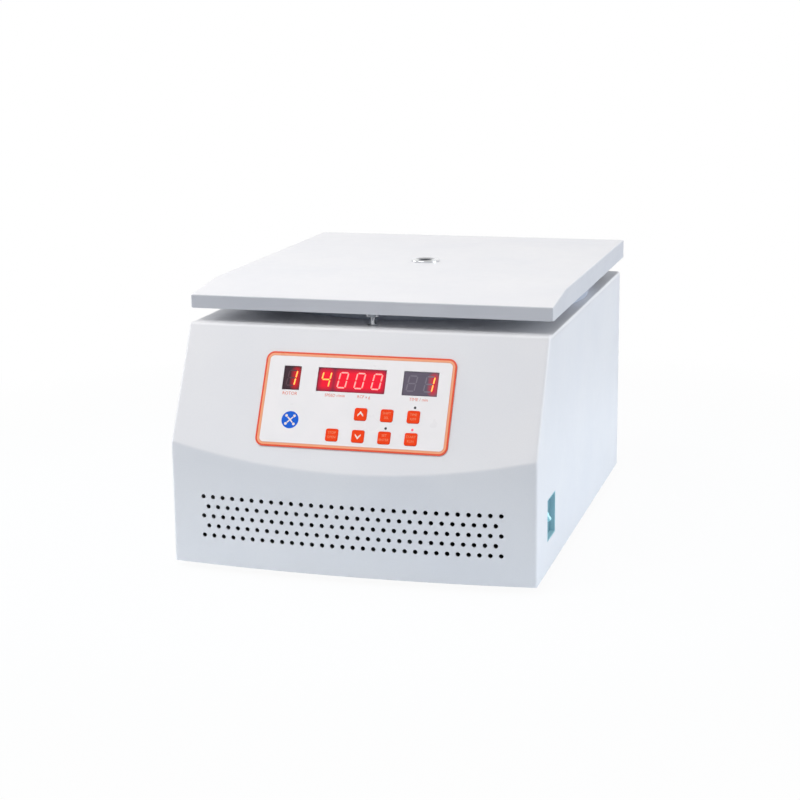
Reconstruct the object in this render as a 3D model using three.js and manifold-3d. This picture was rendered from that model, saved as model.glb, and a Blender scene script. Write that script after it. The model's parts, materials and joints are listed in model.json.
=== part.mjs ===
// A benchtop low-speed centrifuge: a folded sheet-steel case with a bowed, perforated front and a
// sloping control face, a hinged pan lid over a round chamber, a swing-out rotor with four buckets
// on a suspended motor, and a lid lock under the deck.
// Millimetres. +X is to the operator's right, +Y to the back, +Z up. The origin is on the table,
// under the middle of the overall footprint.
import * as THREE from "three";
import { mergeVertices } from "three/addons/utils/BufferGeometryUtils.js";
import Module from "manifold-3d";

const wasm = await Module();
wasm.setup();

// ---- Driving dimensions

const degrees = Math.PI / 180;
const gap = 0.3; // what touching pieces keep between them
const cutOverrun = 2; // how far a cutter runs past the faces it goes through
const sheet = 1.5; // case and lid steel
const liningSheet = 1.2; // bowl and lid lining steel

const chamber = {
  sealRadius: 207, // outside of the lid seal
  sealWidth: 14,
  sideMargin: 8, // from the seal to the case sides
  rearMargin: 15, // from the seal to the back
  seat: 6.5, // deck left bare between the bowl and the seal
  segments: 32,
};
const lockDeck = 60.5; // deck in front of the seal, over the lid lock
const caseFold = { cornerRadius: 3.5, topRadius: 6, deckReturn: 9, arcSteps: 2 };
const front = {
  bow: 13, // how far the lower front stands out in the middle
  lean: 28.5 * degrees, // the control face's slope from the vertical
  holesPerFold: 5, // grille holes, over both kinds of row, from one fold line of the bow to the next
};
const foot = { height: 8, radius: 15, taper: 2.5, inset: 48, boreRadius: 2.5, boreDepth: 5 };
const basePan = { wall: 14, ventLength: 60, ventWidth: 5, ventPitch: 14, vents: 6 };

const overlay = {
  width: 226,
  height: 112.5,
  topMargin: 31, // from its top edge to the deck's front edge, along the slope
  bottomMargin: 0.5, // from its bottom edge to the crease's ends
  cornerRadius: 10,
  thickness: 0.8,
};
const digit = { width: 20.1, height: 27.8, depth: 8, windowGap: 0.35, edge: 0.5 };
const key = {
  side: 14.5,
  cornerRadius: 2,
  proud: 0.7,
  chamfer: 0.35,
  capDepth: 2.4,
  stemRadius: 2,
  travel: 0.5,
  sideGap: 0.25,
};
const board = { thickness: 1.6, margin: 3, postRadius: 3, postInset: 4 };
const keySwitch = { side: 6, height: 3.4, plungerRadius: 1.6, plungerHeight: 0.6 };
const displayRowShare = 0.726; // of the overlay's height
const keyRowShares = [0.15, 0.379];
const keyColumnShares = [-0.1, 0.0354, 0.171, 0.308]; // of the overlay's width
const displays = [
  { name: "rotor_display", digits: 1, placeShare: -0.3505 },
  { name: "speed_display", digits: 4, placeShare: -0.036 },
  { name: "time_display", digits: 2, placeShare: 0.3235 },
];
const keys = [
  { name: "key_stop", column: 0, row: 0 },
  { name: "key_down", column: 1, row: 0 },
  { name: "key_program", column: 2, row: 0 },
  { name: "key_start", column: 3, row: 0 },
  { name: "key_up", column: 1, row: 1 },
  { name: "key_select", column: 2, row: 1 },
  { name: "key_timer", column: 3, row: 1 },
];

const grille = {
  holeRadius: 2.5,
  pitch: 12.1,
  rowPitch: 11.5,
  rows: 5,
  bottomMargin: 34.8, // from the case's bottom edge to the lowest row
  sideMargin: 39,
  sides: 6,
};

const lid = {
  gap: 16.5, // open slit between the deck and the lid's lower edge
  setback: 9, // lid edge behind the deck's front edge
  rearOverhang: 24,
  sideOverhang: 1,
  frontRim: 15,
  height: 23.5,
  bevelRun: 85, // the front slope, measured front to back
  foldRadius: 3.5,
  sideRadius: 2.4,
  linerRecess: 1,
};
const sight = {
  boreRadius: 11,
  sleeveWall: 2,
  flangeRadius: 18,
  flangeHeight: 2.2,
  glassThickness: 3,
  ledge: 1.5,
  linerHole: 30, // radius of the liner's hole round the port
  retainerLap: 6, // of the ring under the liner, beyond that hole
  retainerThickness: 1.5,
  segments: 24,
};
const hinge = {
  fromSide: 85, // its middle, from the case's side
  width: 64,
  leafHeight: 36,
  leafThickness: 2,
  barrelRadius: 5,
  pinRadius: 2.5,
  runningGap: 0.3,
  behind: 8, // the pivot behind the case
  above: 9, // and above the deck
  leafReach: 44,
  pinHead: 1.5,
  segments: 10,
};

const motor = {
  floorGap: 9.5,
  height: 100, // from its lower end to the top of its boss
  radius: 58,
  lowerRadius: 50,
  flangeRadius: 74,
  flangeThickness: 7,
  bossRadius: 20,
  bossHeight: 22,
  boreDepth: 34,
  endBell: 5,
  segments: 16,
};
const motorPlate = { size: 168, thickness: 4, cornerRadius: 18 };
const damper = { height: 30, radius: 14, waist: 3, circleRadius: 82, count: 3 };
const boot = { holeRadius: 30, lip: 4, throatGap: 1.5, lipHeight: 3, clearance: 4 };
const guardRing = { thickness: 3, clearance: 3, height: 120 };

const rotor = {
  shaftRadius: 8,
  shaftGap: 0.4,
  hubRadius: 22,
  hubRise: 6,
  armThickness: 24,
  armEnd: 10, // head beyond the bucket pivots
  pivotShare: 0.519625, // the bucket pivots' circle, of the reach of a swung-out bucket
  scallopRadius: 46,
  swingGap: 14, // from a swung-out bucket to the bowl wall
  swingClearance: 2.5, // round a bucket in its slot
  nutRadius: 15,
  nutHeight: 18,
  nutFlutes: 8,
  nutFluteDepth: 1.2,
  segments: 32,
};
const bucket = {
  count: 4,
  radiusShare: 0.304397, // of the pivots' circle, so that the buckets fit side by side
  wall: 1.5,
  rimWidth: 2,
  rimHeight: 5,
  rise: 14, // rim above the pivot
  baseRadius: 12,
  floorGap: 14,
  pinRadius: 4,
  pinLength: 7,
  segments: 16,
};
const insert = { wall: 5.2, floor: 8, chamfer: 2 };
const pivotDrop = 57.8; // bucket pivots below the deck

const lock = {
  pinSetback: 31.5, // pin behind the deck's front edge
  deckHoleRadius: 7.5,
  studRadius: 3,
  washerRadius: 8.5,
  washerThickness: 3.4,
  washerBelowEdge: 3.4, // washer top below the lid's lower edge
  collarRadius: 4.2,
  collarTop: 1.5, // above the deck
  collarHeight: 8,
  neckRadius: 2.6,
  neckHeight: 8,
  noseHeight: 9,
  segments: 10,
};
const hook = {
  arm: 16,
  thickness: 3,
  slotGap: 0.6,
  jaw: 5.5, // half width of the jaw
  lip: 4.5,
  tail: 12,
  pivotRadius: 3,
  swing: 40 * degrees,
  hubRadius: 6.5,
};
const bracket = { width: 84, depth: 48, web: 18, thickness: 2, flange: 12, noseGap: 2 };
const solenoid = { width: 16, height: 13, length: 22, start: 12, plungerRadius: 2.6, pinRadius: 1.5 };

const breaker = {
  cutWidth: 46,
  cutHeight: 49.6,
  frontMargin: 58, // cut-out behind the case's front corners
  bottomMargin: 34.7,
  wall: 1,
  recess: 6,
  flange: 5,
  bodyWidth: 36, // two poles
  bodyHeight: 80,
  bodyDepth: 41, // behind the frame
  leverWidth: 7,
  leverHub: 6,
  leverReach: 8.6,
  leverTip: 1.6,
  leverSlotGap: 0.8,
  leverLowered: 30 * degrees,
};
const inlet = {
  width: 27.5,
  height: 20,
  depth: 24,
  flangeWidth: 50,
  flangeHeight: 28,
  flangeThickness: 2,
  wall: 2,
  cavityDepth: 18,
  pinLength: 12.5,
  pinWidth: 4,
  pinThickness: 2,
  pinSpacing: 7,
  cornerRadius: 4,
  fromRight: 70,
  fromBottom: 48,
};
const rearVent = { length: 90, width: 4, pitch: 11, rows: 7, fromLeft: 42, fromBottom: 40 };

// ---- Sizes that follow from them

const sealInner = chamber.sealRadius - chamber.sealWidth;
const deckOpening = sealInner - gap - chamber.seat;
const bowlOuter = deckOpening - gap;
const bowlInner = bowlOuter - liningSheet;
const halfWidth = chamber.sealRadius + chamber.sideMargin;
const swingReach = bowlInner - rotor.swingGap;
const pivotRadius = swingReach * rotor.pivotShare;
const bucketDrop = swingReach - pivotRadius; // bottom below the pivot
const bucketRadius = pivotRadius * bucket.radiusShare;
const bowlDepthBelowPivot = bucketDrop + bucket.floorGap;
const caseHeight =
  sheet + motor.floorGap + motor.height + boot.clearance + liningSheet + bowlDepthBelowPivot + pivotDrop;
const slopeLength = overlay.bottomMargin + overlay.height + overlay.topMargin;
const deckFront = slopeLength * Math.sin(front.lean);
const creaseHeight = caseHeight - slopeLength * Math.cos(front.lean);
const chamberY = deckFront + lockDeck + chamber.sealRadius;
const caseDepth = chamberY + chamber.sealRadius + chamber.rearMargin;
const lockY = deckFront + lock.pinSetback;
const overallDepth = front.bow + caseDepth + lid.rearOverhang;
const caseFrontY = front.bow - overallDepth / 2; // the front corners, from the origin
const bowRadius = (halfWidth ** 2 + front.bow ** 2) / (2 * front.bow);
const pivotZ = caseHeight - pivotDrop;
const bowlFloorTop = pivotZ - bowlDepthBelowPivot;
const motorTop = sheet + motor.floorGap + motor.height;
const lidHalfWidth = halfWidth + lid.sideOverhang;
const lidFront = deckFront + lid.setback;
const lidRear = caseDepth + lid.rearOverhang;
const lidBottom = caseHeight + lid.gap;
const linerBottom = lidBottom + lid.linerRecess;

// ---- Solids

function solidOf(geometry) {
  const bare = geometry.clone();
  bare.deleteAttribute("normal");
  bare.deleteAttribute("uv");
  const merged = mergeVertices(bare, 1e-4);
  const corners = merged.index.array;
  const kept = [];
  for (let i = 0; i < corners.length; i += 3) {
    const [a, b, c] = [corners[i], corners[i + 1], corners[i + 2]];
    if (a !== b && b !== c && c !== a) kept.push(a, b, c);
  }
  const solid = new wasm.Manifold(
    new wasm.Mesh({
      numProp: 3,
      vertProperties: merged.attributes.position.array,
      triVerts: new Uint32Array(kept),
    }),
  );
  if (solid.volume() > 0) return solid;
  for (let i = 0; i < kept.length; i += 3) [kept[i], kept[i + 1]] = [kept[i + 1], kept[i]];
  return new wasm.Manifold(
    new wasm.Mesh({
      numProp: 3,
      vertProperties: merged.attributes.position.array,
      triVerts: new Uint32Array(kept),
    }),
  );
}

function geometryOf(solid) {
  const mesh = solid.getMesh();
  const geometry = new THREE.BufferGeometry();
  geometry.setAttribute("position", new THREE.BufferAttribute(mesh.vertProperties, 3));
  geometry.setIndex(new THREE.BufferAttribute(mesh.triVerts, 1));
  const flat = geometry.toNonIndexed();
  flat.computeVertexNormals();
  return flat;
}

const joined = (solids) => solids.reduce((sum, solid) => sum.add(solid));
const without = (solid, cutters) => solid.subtract(joined(cutters));

// An outline through corners [x, y, radius], with each corner's fillet as an arc.
function roundedOutline(corners, steps = caseFold.arcSteps) {
  const points = [];
  corners.forEach(([x, y, radius = 0], i) => {
    const here = new THREE.Vector2(x, y);
    const before = new THREE.Vector2(...corners.at(i - 1));
    const after = new THREE.Vector2(...corners[(i + 1) % corners.length]);
    const back = before.sub(here).normalize();
    const on = after.sub(here).normalize();
    if (!radius) {
      points.push(here);
      return;
    }
    const half = Math.acos(THREE.MathUtils.clamp(back.dot(on), -1, 1)) / 2;
    const centre = here.clone().addScaledVector(back.clone().add(on).normalize(), radius / Math.sin(half));
    const start = here.clone().addScaledVector(back, radius / Math.tan(half)).sub(centre);
    const end = here.clone().addScaledVector(on, radius / Math.tan(half)).sub(centre);
    const turn = Math.atan2(start.cross(end), start.dot(end));
    for (let k = 0; k <= steps; k++)
      points.push(start.clone().rotateAround(new THREE.Vector2(), (turn * k) / steps).add(centre));
  });
  return points;
}

const rectangle = (width, height, radius = 0, steps = caseFold.arcSteps) =>
  roundedOutline(
    [
      [-width / 2, -height / 2, radius],
      [width / 2, -height / 2, radius],
      [width / 2, height / 2, radius],
      [-width / 2, height / 2, radius],
    ],
    steps,
  );

const extruded = (outline, depth) =>
  new THREE.ExtrudeGeometry(new THREE.Shape(outline), { depth, bevelEnabled: false });

// Plan outlines (x, y) are extruded up from z, and their holes are cut through.
function raised(outline, z, height, holes = []) {
  const plate = solidOf(extruded(outline, height).translate(0, 0, z));
  if (!holes.length) return plate;
  return without(
    plate,
    holes.map((hole) => raised(hole, z - cutOverrun, height + 2 * cutOverrun)),
  );
}

// Side outlines (y, z) are extruded along X between two places.
const sideways = new THREE.Matrix4().makeBasis(
  new THREE.Vector3(0, 1, 0),
  new THREE.Vector3(0, 0, 1),
  new THREE.Vector3(1, 0, 0),
);
const acrossX = (outline, from, to) =>
  solidOf(extruded(outline, to - from).applyMatrix4(sideways).translate(from, 0, 0));

// Front outlines (x, z) are extruded along Y between two places.
const alongY = (outline, from, to) =>
  solidOf(
    extruded(outline, to - from)
      .rotateX(Math.PI / 2)
      .translate(0, to, 0),
  );

// A block given by its lowest and highest corners.
function block([x0, y0, z0], [x1, y1, z1]) {
  const box = new THREE.BoxGeometry(x1 - x0, y1 - y0, z1 - z0);
  return solidOf(box.translate((x0 + x1) / 2, (y0 + y1) / 2, (z0 + z1) / 2));
}

// A round bar along Z.
function bar(radius, z0, z1, segments, x = 0, y = 0) {
  const cylinder = new THREE.CylinderGeometry(radius, radius, z1 - z0, segments);
  return solidOf(cylinder.rotateX(Math.PI / 2).translate(x, y, (z0 + z1) / 2));
}

const barAlongY = (radius, y0, y1, segments, x = 0, z = 0) =>
  solidOf(
    new THREE.CylinderGeometry(radius, radius, y1 - y0, segments).translate(x, (y0 + y1) / 2, z),
  );

const barAlongX = (radius, x0, x1, segments, y = 0, z = 0) =>
  solidOf(
    new THREE.CylinderGeometry(radius, radius, x1 - x0, segments)
      .rotateZ(Math.PI / 2)
      .translate((x0 + x1) / 2, y, z),
  );

// A profile of [radius, height] points turned about Z. It closes on itself or ends on the axis.
function turned(profile, segments) {
  const points = profile.map(([r, z]) => new THREE.Vector2(r, z));
  if (points[0].x > 0 || points.at(-1).x > 0) points.push(points[0].clone());
  return solidOf(new THREE.LatheGeometry(points, segments).rotateX(Math.PI / 2));
}

// A quarter-round between two tangent points, for turned profiles.
function quarter([cx, cz], radius, from, to, steps) {
  return Array.from({ length: steps + 1 }, (_, k) => {
    const angle = from + ((to - from) * k) / steps;
    return [cx + radius * Math.cos(angle), cz + radius * Math.sin(angle)];
  });
}

// ---- Materials

const finish = (color, roughness, metalness = 0) =>
  new THREE.MeshStandardMaterial({ color, roughness, metalness });
const paint = finish(0xe4e5ea, 0.45);
const steel = finish(0xc9cbce, 0.3, 1);
const darkSteel = finish(0x8a8d92, 0.45, 1);
const castAluminium = finish(0xb9bcc0, 0.4, 1);
const chrome = finish(0xdedfe2, 0.12, 1);
const rubber = finish(0x2b2c2e, 0.85);
const sealRubber = finish(0xb9bdc4, 0.75);
const overlayFilm = finish(0xf0eff0, 0.35);
const keyOrange = finish(0xf0521c, 0.4);
const displayRed = finish(0x3a2026, 0.3);
const circuitGreen = finish(0x1f6b46, 0.5);
const mouldedGrey = finish(0xa9c3c8, 0.5);
const leverBlue = finish(0x7fd0dd, 0.4);
const black = finish(0x1b1c1e, 0.5);
const nylon = finish(0xe9e6dc, 0.6);
const clear = finish(0xcfd8dc, 0.08);
const motorPaint = finish(0x3c4148, 0.5);

function piece(name, solid, material) {
  const mesh = new THREE.Mesh(geometryOf(solid), material);
  mesh.name = name;
  return mesh;
}

const placed = (object, x, y, z) => {
  object.position.set(x, y, z);
  return object;
};

// ---- Control face, drawn in its own plane: x across, y up the slope from the overlay's middle,
// z out of the face

const faceMiddle = overlay.bottomMargin + overlay.height / 2;
const controlPlane = new THREE.Matrix4()
  .makeRotationX(Math.PI / 2 - front.lean)
  .setPosition(0, faceMiddle * Math.sin(front.lean), creaseHeight + faceMiddle * Math.cos(front.lean));
const rowY = (share) => (share - 1 / 2) * overlay.height;
const columnX = (share) => share * overlay.width;
const moved = (outline, x, y) => outline.map((p) => new THREE.Vector2(p.x + x, p.y + y));
const keyPlace = ({ column, row }) => [columnX(keyColumnShares[column]), rowY(keyRowShares[row])];

// The windows and key openings, alike in the overlay and in the steel behind it.
function controlOpenings() {
  const windows = displays.map(({ digits, placeShare }) =>
    moved(
      rectangle(digits * digit.width + 2 * digit.windowGap, digit.height + 2 * digit.windowGap),
      columnX(placeShare),
      rowY(displayRowShare),
    ),
  );
  const side = key.side + 2 * key.sideGap;
  const openings = keys.map((each) =>
    moved(rectangle(side, side, key.cornerRadius + key.sideGap, 1), ...keyPlace(each)),
  );
  return [...windows, ...openings];
}

// ---- Case
// Case pieces are drawn in the case's own frame: y from the front corners, z from the bottom edge.

const bowAt = (x) => bowRadius - front.bow - Math.sqrt(bowRadius ** 2 - x ** 2);

// The front's section at x, taken in by an amount: bottom edge, crease, folded top, deck return.
function frontSection(x, inset) {
  const y = bowAt(x);
  const crease = creaseHeight + y / Math.tan(front.lean) - inset * Math.tan(front.lean / 2);
  const turn = Math.PI / 2 - front.lean;
  const tangent = caseFold.topRadius * Math.tan(turn / 2);
  const centre = [deckFront + tangent, caseHeight - caseFold.topRadius];
  const fold = quarter(centre, caseFold.topRadius - inset, Math.PI - front.lean, Math.PI / 2, caseFold.arcSteps);
  return [
    [y + inset, 0],
    [y + inset, crease],
    ...fold,
    [deckFront + tangent + caseFold.deckReturn, caseHeight - inset],
  ];
}

const deckStart = frontSection(0, 0).at(-1)[0];

// Where the bow's flats meet, from one end to the other: the lines run between the grille's holes.
function bowLines(reach) {
  const lines = [];
  const step = (front.holesPerFold * grille.pitch) / 2;
  for (let x = grille.pitch / 4; x < reach - step / 2; x += step) lines.push(x);
  return [-reach, ...lines.map((x) => -x).reverse(), ...lines, reach];
}

// One face of the front: sections across the width, wrapped round both side corners.
function frontFace(inset) {
  const reach = halfWidth - caseFold.cornerRadius;
  const radius = caseFold.cornerRadius - inset;
  const corner = (side) =>
    Array.from({ length: caseFold.arcSteps }, (_, k) => {
      const angle = ((k + 1) / caseFold.arcSteps) * (Math.PI / 2);
      const taken = inset + radius * (1 - Math.cos(angle));
      return frontSection(reach, taken).map(([y, z]) => [side * (reach + radius * Math.sin(angle)), y, z]);
    });
  const middle = bowLines(reach).map((x) => frontSection(x, inset).map(([y, z]) => [x, y, z]));
  return [...corner(-1).reverse(), ...middle, ...corner(1)];
}

// A closed sheet between two matching grids of points.
function sheetBetween(outer, inner) {
  const columns = outer.length;
  const rows = outer[0].length;
  const positions = [...outer.flat(), ...inner.flat()].flat();
  const at = (side, i, j) => side * columns * rows + i * rows + j;
  const faces = [];
  const quad = (a, b, c, d) => faces.push(a, b, c, a, c, d);
  for (let i = 0; i < columns - 1; i++)
    for (let j = 0; j < rows - 1; j++) {
      quad(at(0, i, j), at(0, i + 1, j), at(0, i + 1, j + 1), at(0, i, j + 1));
      quad(at(1, i, j), at(1, i, j + 1), at(1, i + 1, j + 1), at(1, i + 1, j));
    }
  for (let i = 0; i < columns - 1; i++) {
    quad(at(0, i, 0), at(1, i, 0), at(1, i + 1, 0), at(0, i + 1, 0));
    quad(at(0, i, rows - 1), at(0, i + 1, rows - 1), at(1, i + 1, rows - 1), at(1, i, rows - 1));
  }
  for (let j = 0; j < rows - 1; j++) {
    quad(at(0, 0, j), at(0, 0, j + 1), at(1, 0, j + 1), at(1, 0, j));
    quad(at(0, columns - 1, j), at(1, columns - 1, j), at(1, columns - 1, j + 1), at(0, columns - 1, j + 1));
  }
  const geometry = new THREE.BufferGeometry();
  geometry.setAttribute("position", new THREE.Float32BufferAttribute(positions, 3));
  geometry.setIndex(faces);
  return solidOf(geometry);
}

// Places of the grille's holes: alternate rows shift by half a pitch and hold one hole less.
function grillePlaces() {
  const across = Math.floor((2 * (halfWidth - grille.sideMargin)) / grille.pitch) + 1;
  const places = [];
  for (let row = 0; row < grille.rows; row++) {
    const count = across - (row % 2);
    for (let k = 0; k < count; k++)
      places.push([(k - (count - 1) / 2) * grille.pitch, grille.bottomMargin + row * grille.rowPitch]);
  }
  return places;
}

function frontPanel() {
  const skin = sheetBetween(frontFace(0), frontFace(sheet));
  const holes = grillePlaces().map(([x, z]) =>
    barAlongY(grille.holeRadius, bowAt(x) - cutOverrun, bowAt(x) + sheet + cutOverrun, grille.sides, x, z),
  );
  const openings = controlOpenings().map((outline) =>
    raised(outline, -sheet - cutOverrun, sheet + 2 * cutOverrun).transform(controlPlane.elements),
  );
  return without(skin, [...holes, ...openings]);
}

function sidePanel(side) {
  const edge = frontSection(halfWidth - caseFold.cornerRadius, caseFold.cornerRadius + gap);
  const top = edge.at(-1)[1];
  const outline = [...edge.map(([y, z]) => new THREE.Vector2(y, z))];
  outline.push(new THREE.Vector2(caseDepth, top), new THREE.Vector2(caseDepth, 0));
  const [from, to] = side > 0 ? [halfWidth - sheet, halfWidth] : [-halfWidth, sheet - halfWidth];
  const plate = acrossX(outline, from, to);
  if (side < 0) return plate;
  const cut = block(
    [from - cutOverrun, breaker.frontMargin, breaker.bottomMargin],
    [to + cutOverrun, breaker.frontMargin + breaker.cutWidth, breaker.bottomMargin + breaker.cutHeight],
  );
  return without(plate, [cut]);
}

function topDeck() {
  const r = caseFold.cornerRadius;
  const outer = roundedOutline([
    [-halfWidth, caseHeight - r],
    [-halfWidth, caseHeight, r],
    [halfWidth, caseHeight, r],
    [halfWidth, caseHeight - r],
    [halfWidth - sheet, caseHeight - r],
    [halfWidth - sheet, caseHeight - sheet, r - sheet],
    [sheet - halfWidth, caseHeight - sheet, r - sheet],
    [sheet - halfWidth, caseHeight - r],
  ]);
  const plate = alongY(outer, deckStart + gap, caseDepth);
  const low = caseHeight - sheet - cutOverrun;
  const high = caseHeight + cutOverrun;
  return without(plate, [
    bar(deckOpening, low, high, chamber.segments, 0, chamberY),
    bar(lock.deckHoleRadius, low, high, lock.segments, 0, lockY),
  ]);
}

function rearPanel() {
  const half = halfWidth - sheet - gap;
  const top = caseHeight - sheet - gap;
  const outline = roundedOutline([
    [-half, 0],
    [half, 0],
    [half, top, caseFold.cornerRadius],
    [-half, top, caseFold.cornerRadius],
  ]);
  const plate = alongY(outline, caseDepth - sheet, caseDepth);
  const end = rearVent.width / 2;
  const reach = rearVent.length / 2;
  const slot = [
    [-reach, 0],
    [end / 2 - reach, -end],
    [reach - end / 2, -end],
    [reach, 0],
    [reach - end / 2, end],
    [end / 2 - reach, end],
  ].map(([x, z]) => new THREE.Vector2(x, z));
  const slots = [];
  for (const side of [-1, 1])
    for (let row = 0; row < rearVent.rows; row++) {
      const x = side * (half - rearVent.fromLeft - rearVent.length / 2);
      const z = top - rearVent.fromBottom - row * rearVent.pitch;
      const moved = slot.map((p) => new THREE.Vector2(p.x + x, p.y + z));
      slots.push(alongY(moved, caseDepth - sheet - cutOverrun, caseDepth + cutOverrun));
    }
  const socket = block(
    [-inlet.width / 2 - gap, caseDepth - sheet - cutOverrun, -inlet.height / 2 - gap],
    [inlet.width / 2 + gap, caseDepth + cutOverrun, inlet.height / 2 + gap],
  ).translate([half - inlet.fromRight, 0, inlet.fromBottom]);
  return without(plate, [...slots, socket]);
}

// The base pan's plan, inside the walls by an inset.
function basePlan(inset) {
  const reach = halfWidth - caseFold.cornerRadius;
  const bowed = bowLines(reach)
    .filter((_, k, lines) => k % 2 === 0 || k === lines.length - 1)
    .map((x) => new THREE.Vector2(x, bowAt(x) + inset));
  const corner = bowAt(reach) + inset + caseFold.cornerRadius;
  return [
    ...bowed,
    new THREE.Vector2(halfWidth - inset, corner),
    new THREE.Vector2(halfWidth - inset, caseDepth - inset),
    new THREE.Vector2(inset - halfWidth, caseDepth - inset),
    new THREE.Vector2(inset - halfWidth, corner),
  ];
}

const footPlaces = [
  ["foot_front_left", -1, 0],
  ["foot_front_right", 1, 0],
  ["foot_rear_left", -1, 1],
  ["foot_rear_right", 1, 1],
].map(([name, side, rear]) => ({
  name,
  x: side * (halfWidth - foot.inset),
  y: rear ? caseDepth - foot.inset : foot.inset,
}));

function basePlate() {
  const inset = sheet + gap;
  const floor = raised(basePlan(inset), 0, sheet);
  const walls = raised(basePlan(inset), 0, basePan.wall, [basePlan(inset + sheet)]);
  const vents = [];
  for (const side of [-1, 1])
    for (let k = 0; k < basePan.vents; k++) {
      const x = side * (damper.circleRadius + damper.radius + basePan.ventLength / 2);
      const y = chamberY + (k - (basePan.vents - 1) / 2) * basePan.ventPitch;
      const plan = rectangle(basePan.ventLength, basePan.ventWidth).map((p) => new THREE.Vector2(p.x + x, p.y + y));
      vents.push(raised(plan, -cutOverrun, sheet + 2 * cutOverrun));
    }
  return without(floor.add(walls), vents);
}

const footSolid = () =>
  turned(
    [
      [0, -gap],
      [foot.radius, -gap],
      [foot.radius - foot.taper, -foot.height],
      [foot.boreRadius, -foot.height],
      [foot.boreRadius, foot.boreDepth - foot.height],
      [0, foot.boreDepth - foot.height],
    ],
    bucket.segments,
  );

// ---- Chamber

// The bowl's rolled wall, up through the deck, and the flat floor that is welded into it.
function chamberBowl() {
  const [low, high] = [bowlFloorTop - liningSheet, caseHeight + gap + liningSheet];
  return turned(
    [
      [bowlInner, low],
      [bowlOuter, low],
      [bowlOuter, high],
      [bowlInner, high],
    ],
    chamber.segments,
  );
}

function bowlFloor() {
  const [low, high] = [bowlFloorTop - liningSheet, bowlFloorTop];
  return turned(
    [
      [boot.holeRadius, low],
      [bowlInner - gap, low],
      [bowlInner - gap, high],
      [boot.holeRadius, high],
    ],
    chamber.segments,
  );
}

// A hollow-bulb section standing on the deck: a foot, a waist and a rounded lip under the lid.
function chamberSeal() {
  const low = caseHeight + gap;
  const high = linerBottom - gap;
  const inner = sealInner;
  const outer = chamber.sealRadius;
  const width = chamber.sealWidth;
  const lipShare = 0.5;
  const lip = width * lipShare;
  const footHeight = (high - low) / 3;
  const lipCentre = [outer - lip / 2, high - lip / 2];
  return turned(
    [
      [inner, low],
      [outer, low],
      [outer, low + footHeight],
      ...quarter(lipCentre, lip / 2, 0, Math.PI, caseFold.arcSteps),
      [inner + width / 3, low + footHeight],
      [inner, low + footHeight],
    ],
    chamber.segments,
  );
}

const guardRingSolid = () => {
  const inner = bowlOuter + guardRing.clearance;
  const outer = inner + guardRing.thickness;
  const top = caseHeight - sheet - gap;
  return turned(
    [
      [inner, top - guardRing.height],
      [outer, top - guardRing.height],
      [outer, top],
      [inner, top],
    ],
    chamber.segments,
  );
};

// A rubber grommet: it grips the edge of the bowl's floor hole round the motor's boss.
function shaftBoot() {
  const inner = motor.bossRadius + boot.throatGap;
  const waist = boot.holeRadius - gap;
  const outer = boot.holeRadius + boot.lip;
  const low = bowlFloorTop - liningSheet - gap;
  const high = bowlFloorTop + gap;
  return turned(
    [
      [inner, low - boot.lipHeight],
      [outer, low - boot.lipHeight],
      [outer, low],
      [waist, low],
      [waist, high],
      [outer, high],
      [inner, high + boot.lipHeight],
    ],
    motor.segments,
  );
}

// ---- Drive

const motorPlateTop = sheet + gap + damper.height + gap + motorPlate.thickness;

function motorHousing() {
  const low = sheet + motor.floorGap;
  const flangeLow = motorPlateTop + gap;
  const flangeHigh = flangeLow + motor.flangeThickness;
  const shoulder = motorTop - motor.bossHeight;
  const bore = rotor.shaftRadius + rotor.shaftGap;
  return turned(
    [
      [0, low],
      [motor.lowerRadius, low],
      [motor.lowerRadius, flangeLow],
      [motor.flangeRadius, flangeLow],
      [motor.flangeRadius, flangeHigh],
      [motor.radius, flangeHigh],
      [motor.radius, shoulder - motor.endBell],
      [motor.radius - motor.endBell, shoulder],
      [motor.bossRadius, shoulder],
      [motor.bossRadius, motorTop],
      [bore, motorTop],
      [bore, motorTop - motor.boreDepth],
      [0, motorTop - motor.boreDepth],
    ],
    motor.segments,
  );
}

function motorPlateSolid() {
  const low = motorPlateTop - motorPlate.thickness;
  const side = motorPlate.size + 2 * damper.radius;
  const plate = raised(rectangle(side, side, motorPlate.cornerRadius), low, motorPlate.thickness);
  return without(plate, [bar(motor.lowerRadius + gap, low - cutOverrun, motorPlateTop + cutOverrun, motor.segments)]);
}

const damperSolid = () => {
  const low = sheet + gap;
  const middle = low + damper.height / 2;
  return turned(
    [
      [0, low],
      [damper.radius, low],
      [damper.radius, low + damper.waist],
      [damper.radius - damper.waist, middle],
      [damper.radius, low + damper.height - damper.waist],
      [damper.radius, low + damper.height],
      [0, low + damper.height],
    ],
    motor.segments / 2,
  );
};

// ---- Rotor, drawn about its own axis with z measured from the bucket pivots

const headTop = rotor.armThickness / 2;
const hubTop = headTop + rotor.hubRise;

function driveShaft() {
  const low = motorTop - motor.boreDepth + rotor.shaftGap - pivotZ;
  const seat = -headTop - gap;
  const thread = rotor.shaftRadius - rotor.shaftGap;
  const threadTop = hubTop + rotor.nutHeight / 2;
  return turned(
    [
      [0, low],
      [rotor.shaftRadius, low],
      [rotor.shaftRadius, seat],
      [thread, seat],
      [thread, threadTop],
      [0, threadTop],
    ],
    motor.segments / 2,
  );
}

const bucketRim = bucketRadius + bucket.rimWidth;
const slotHalf = bucketRim + rotor.swingClearance;

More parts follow.
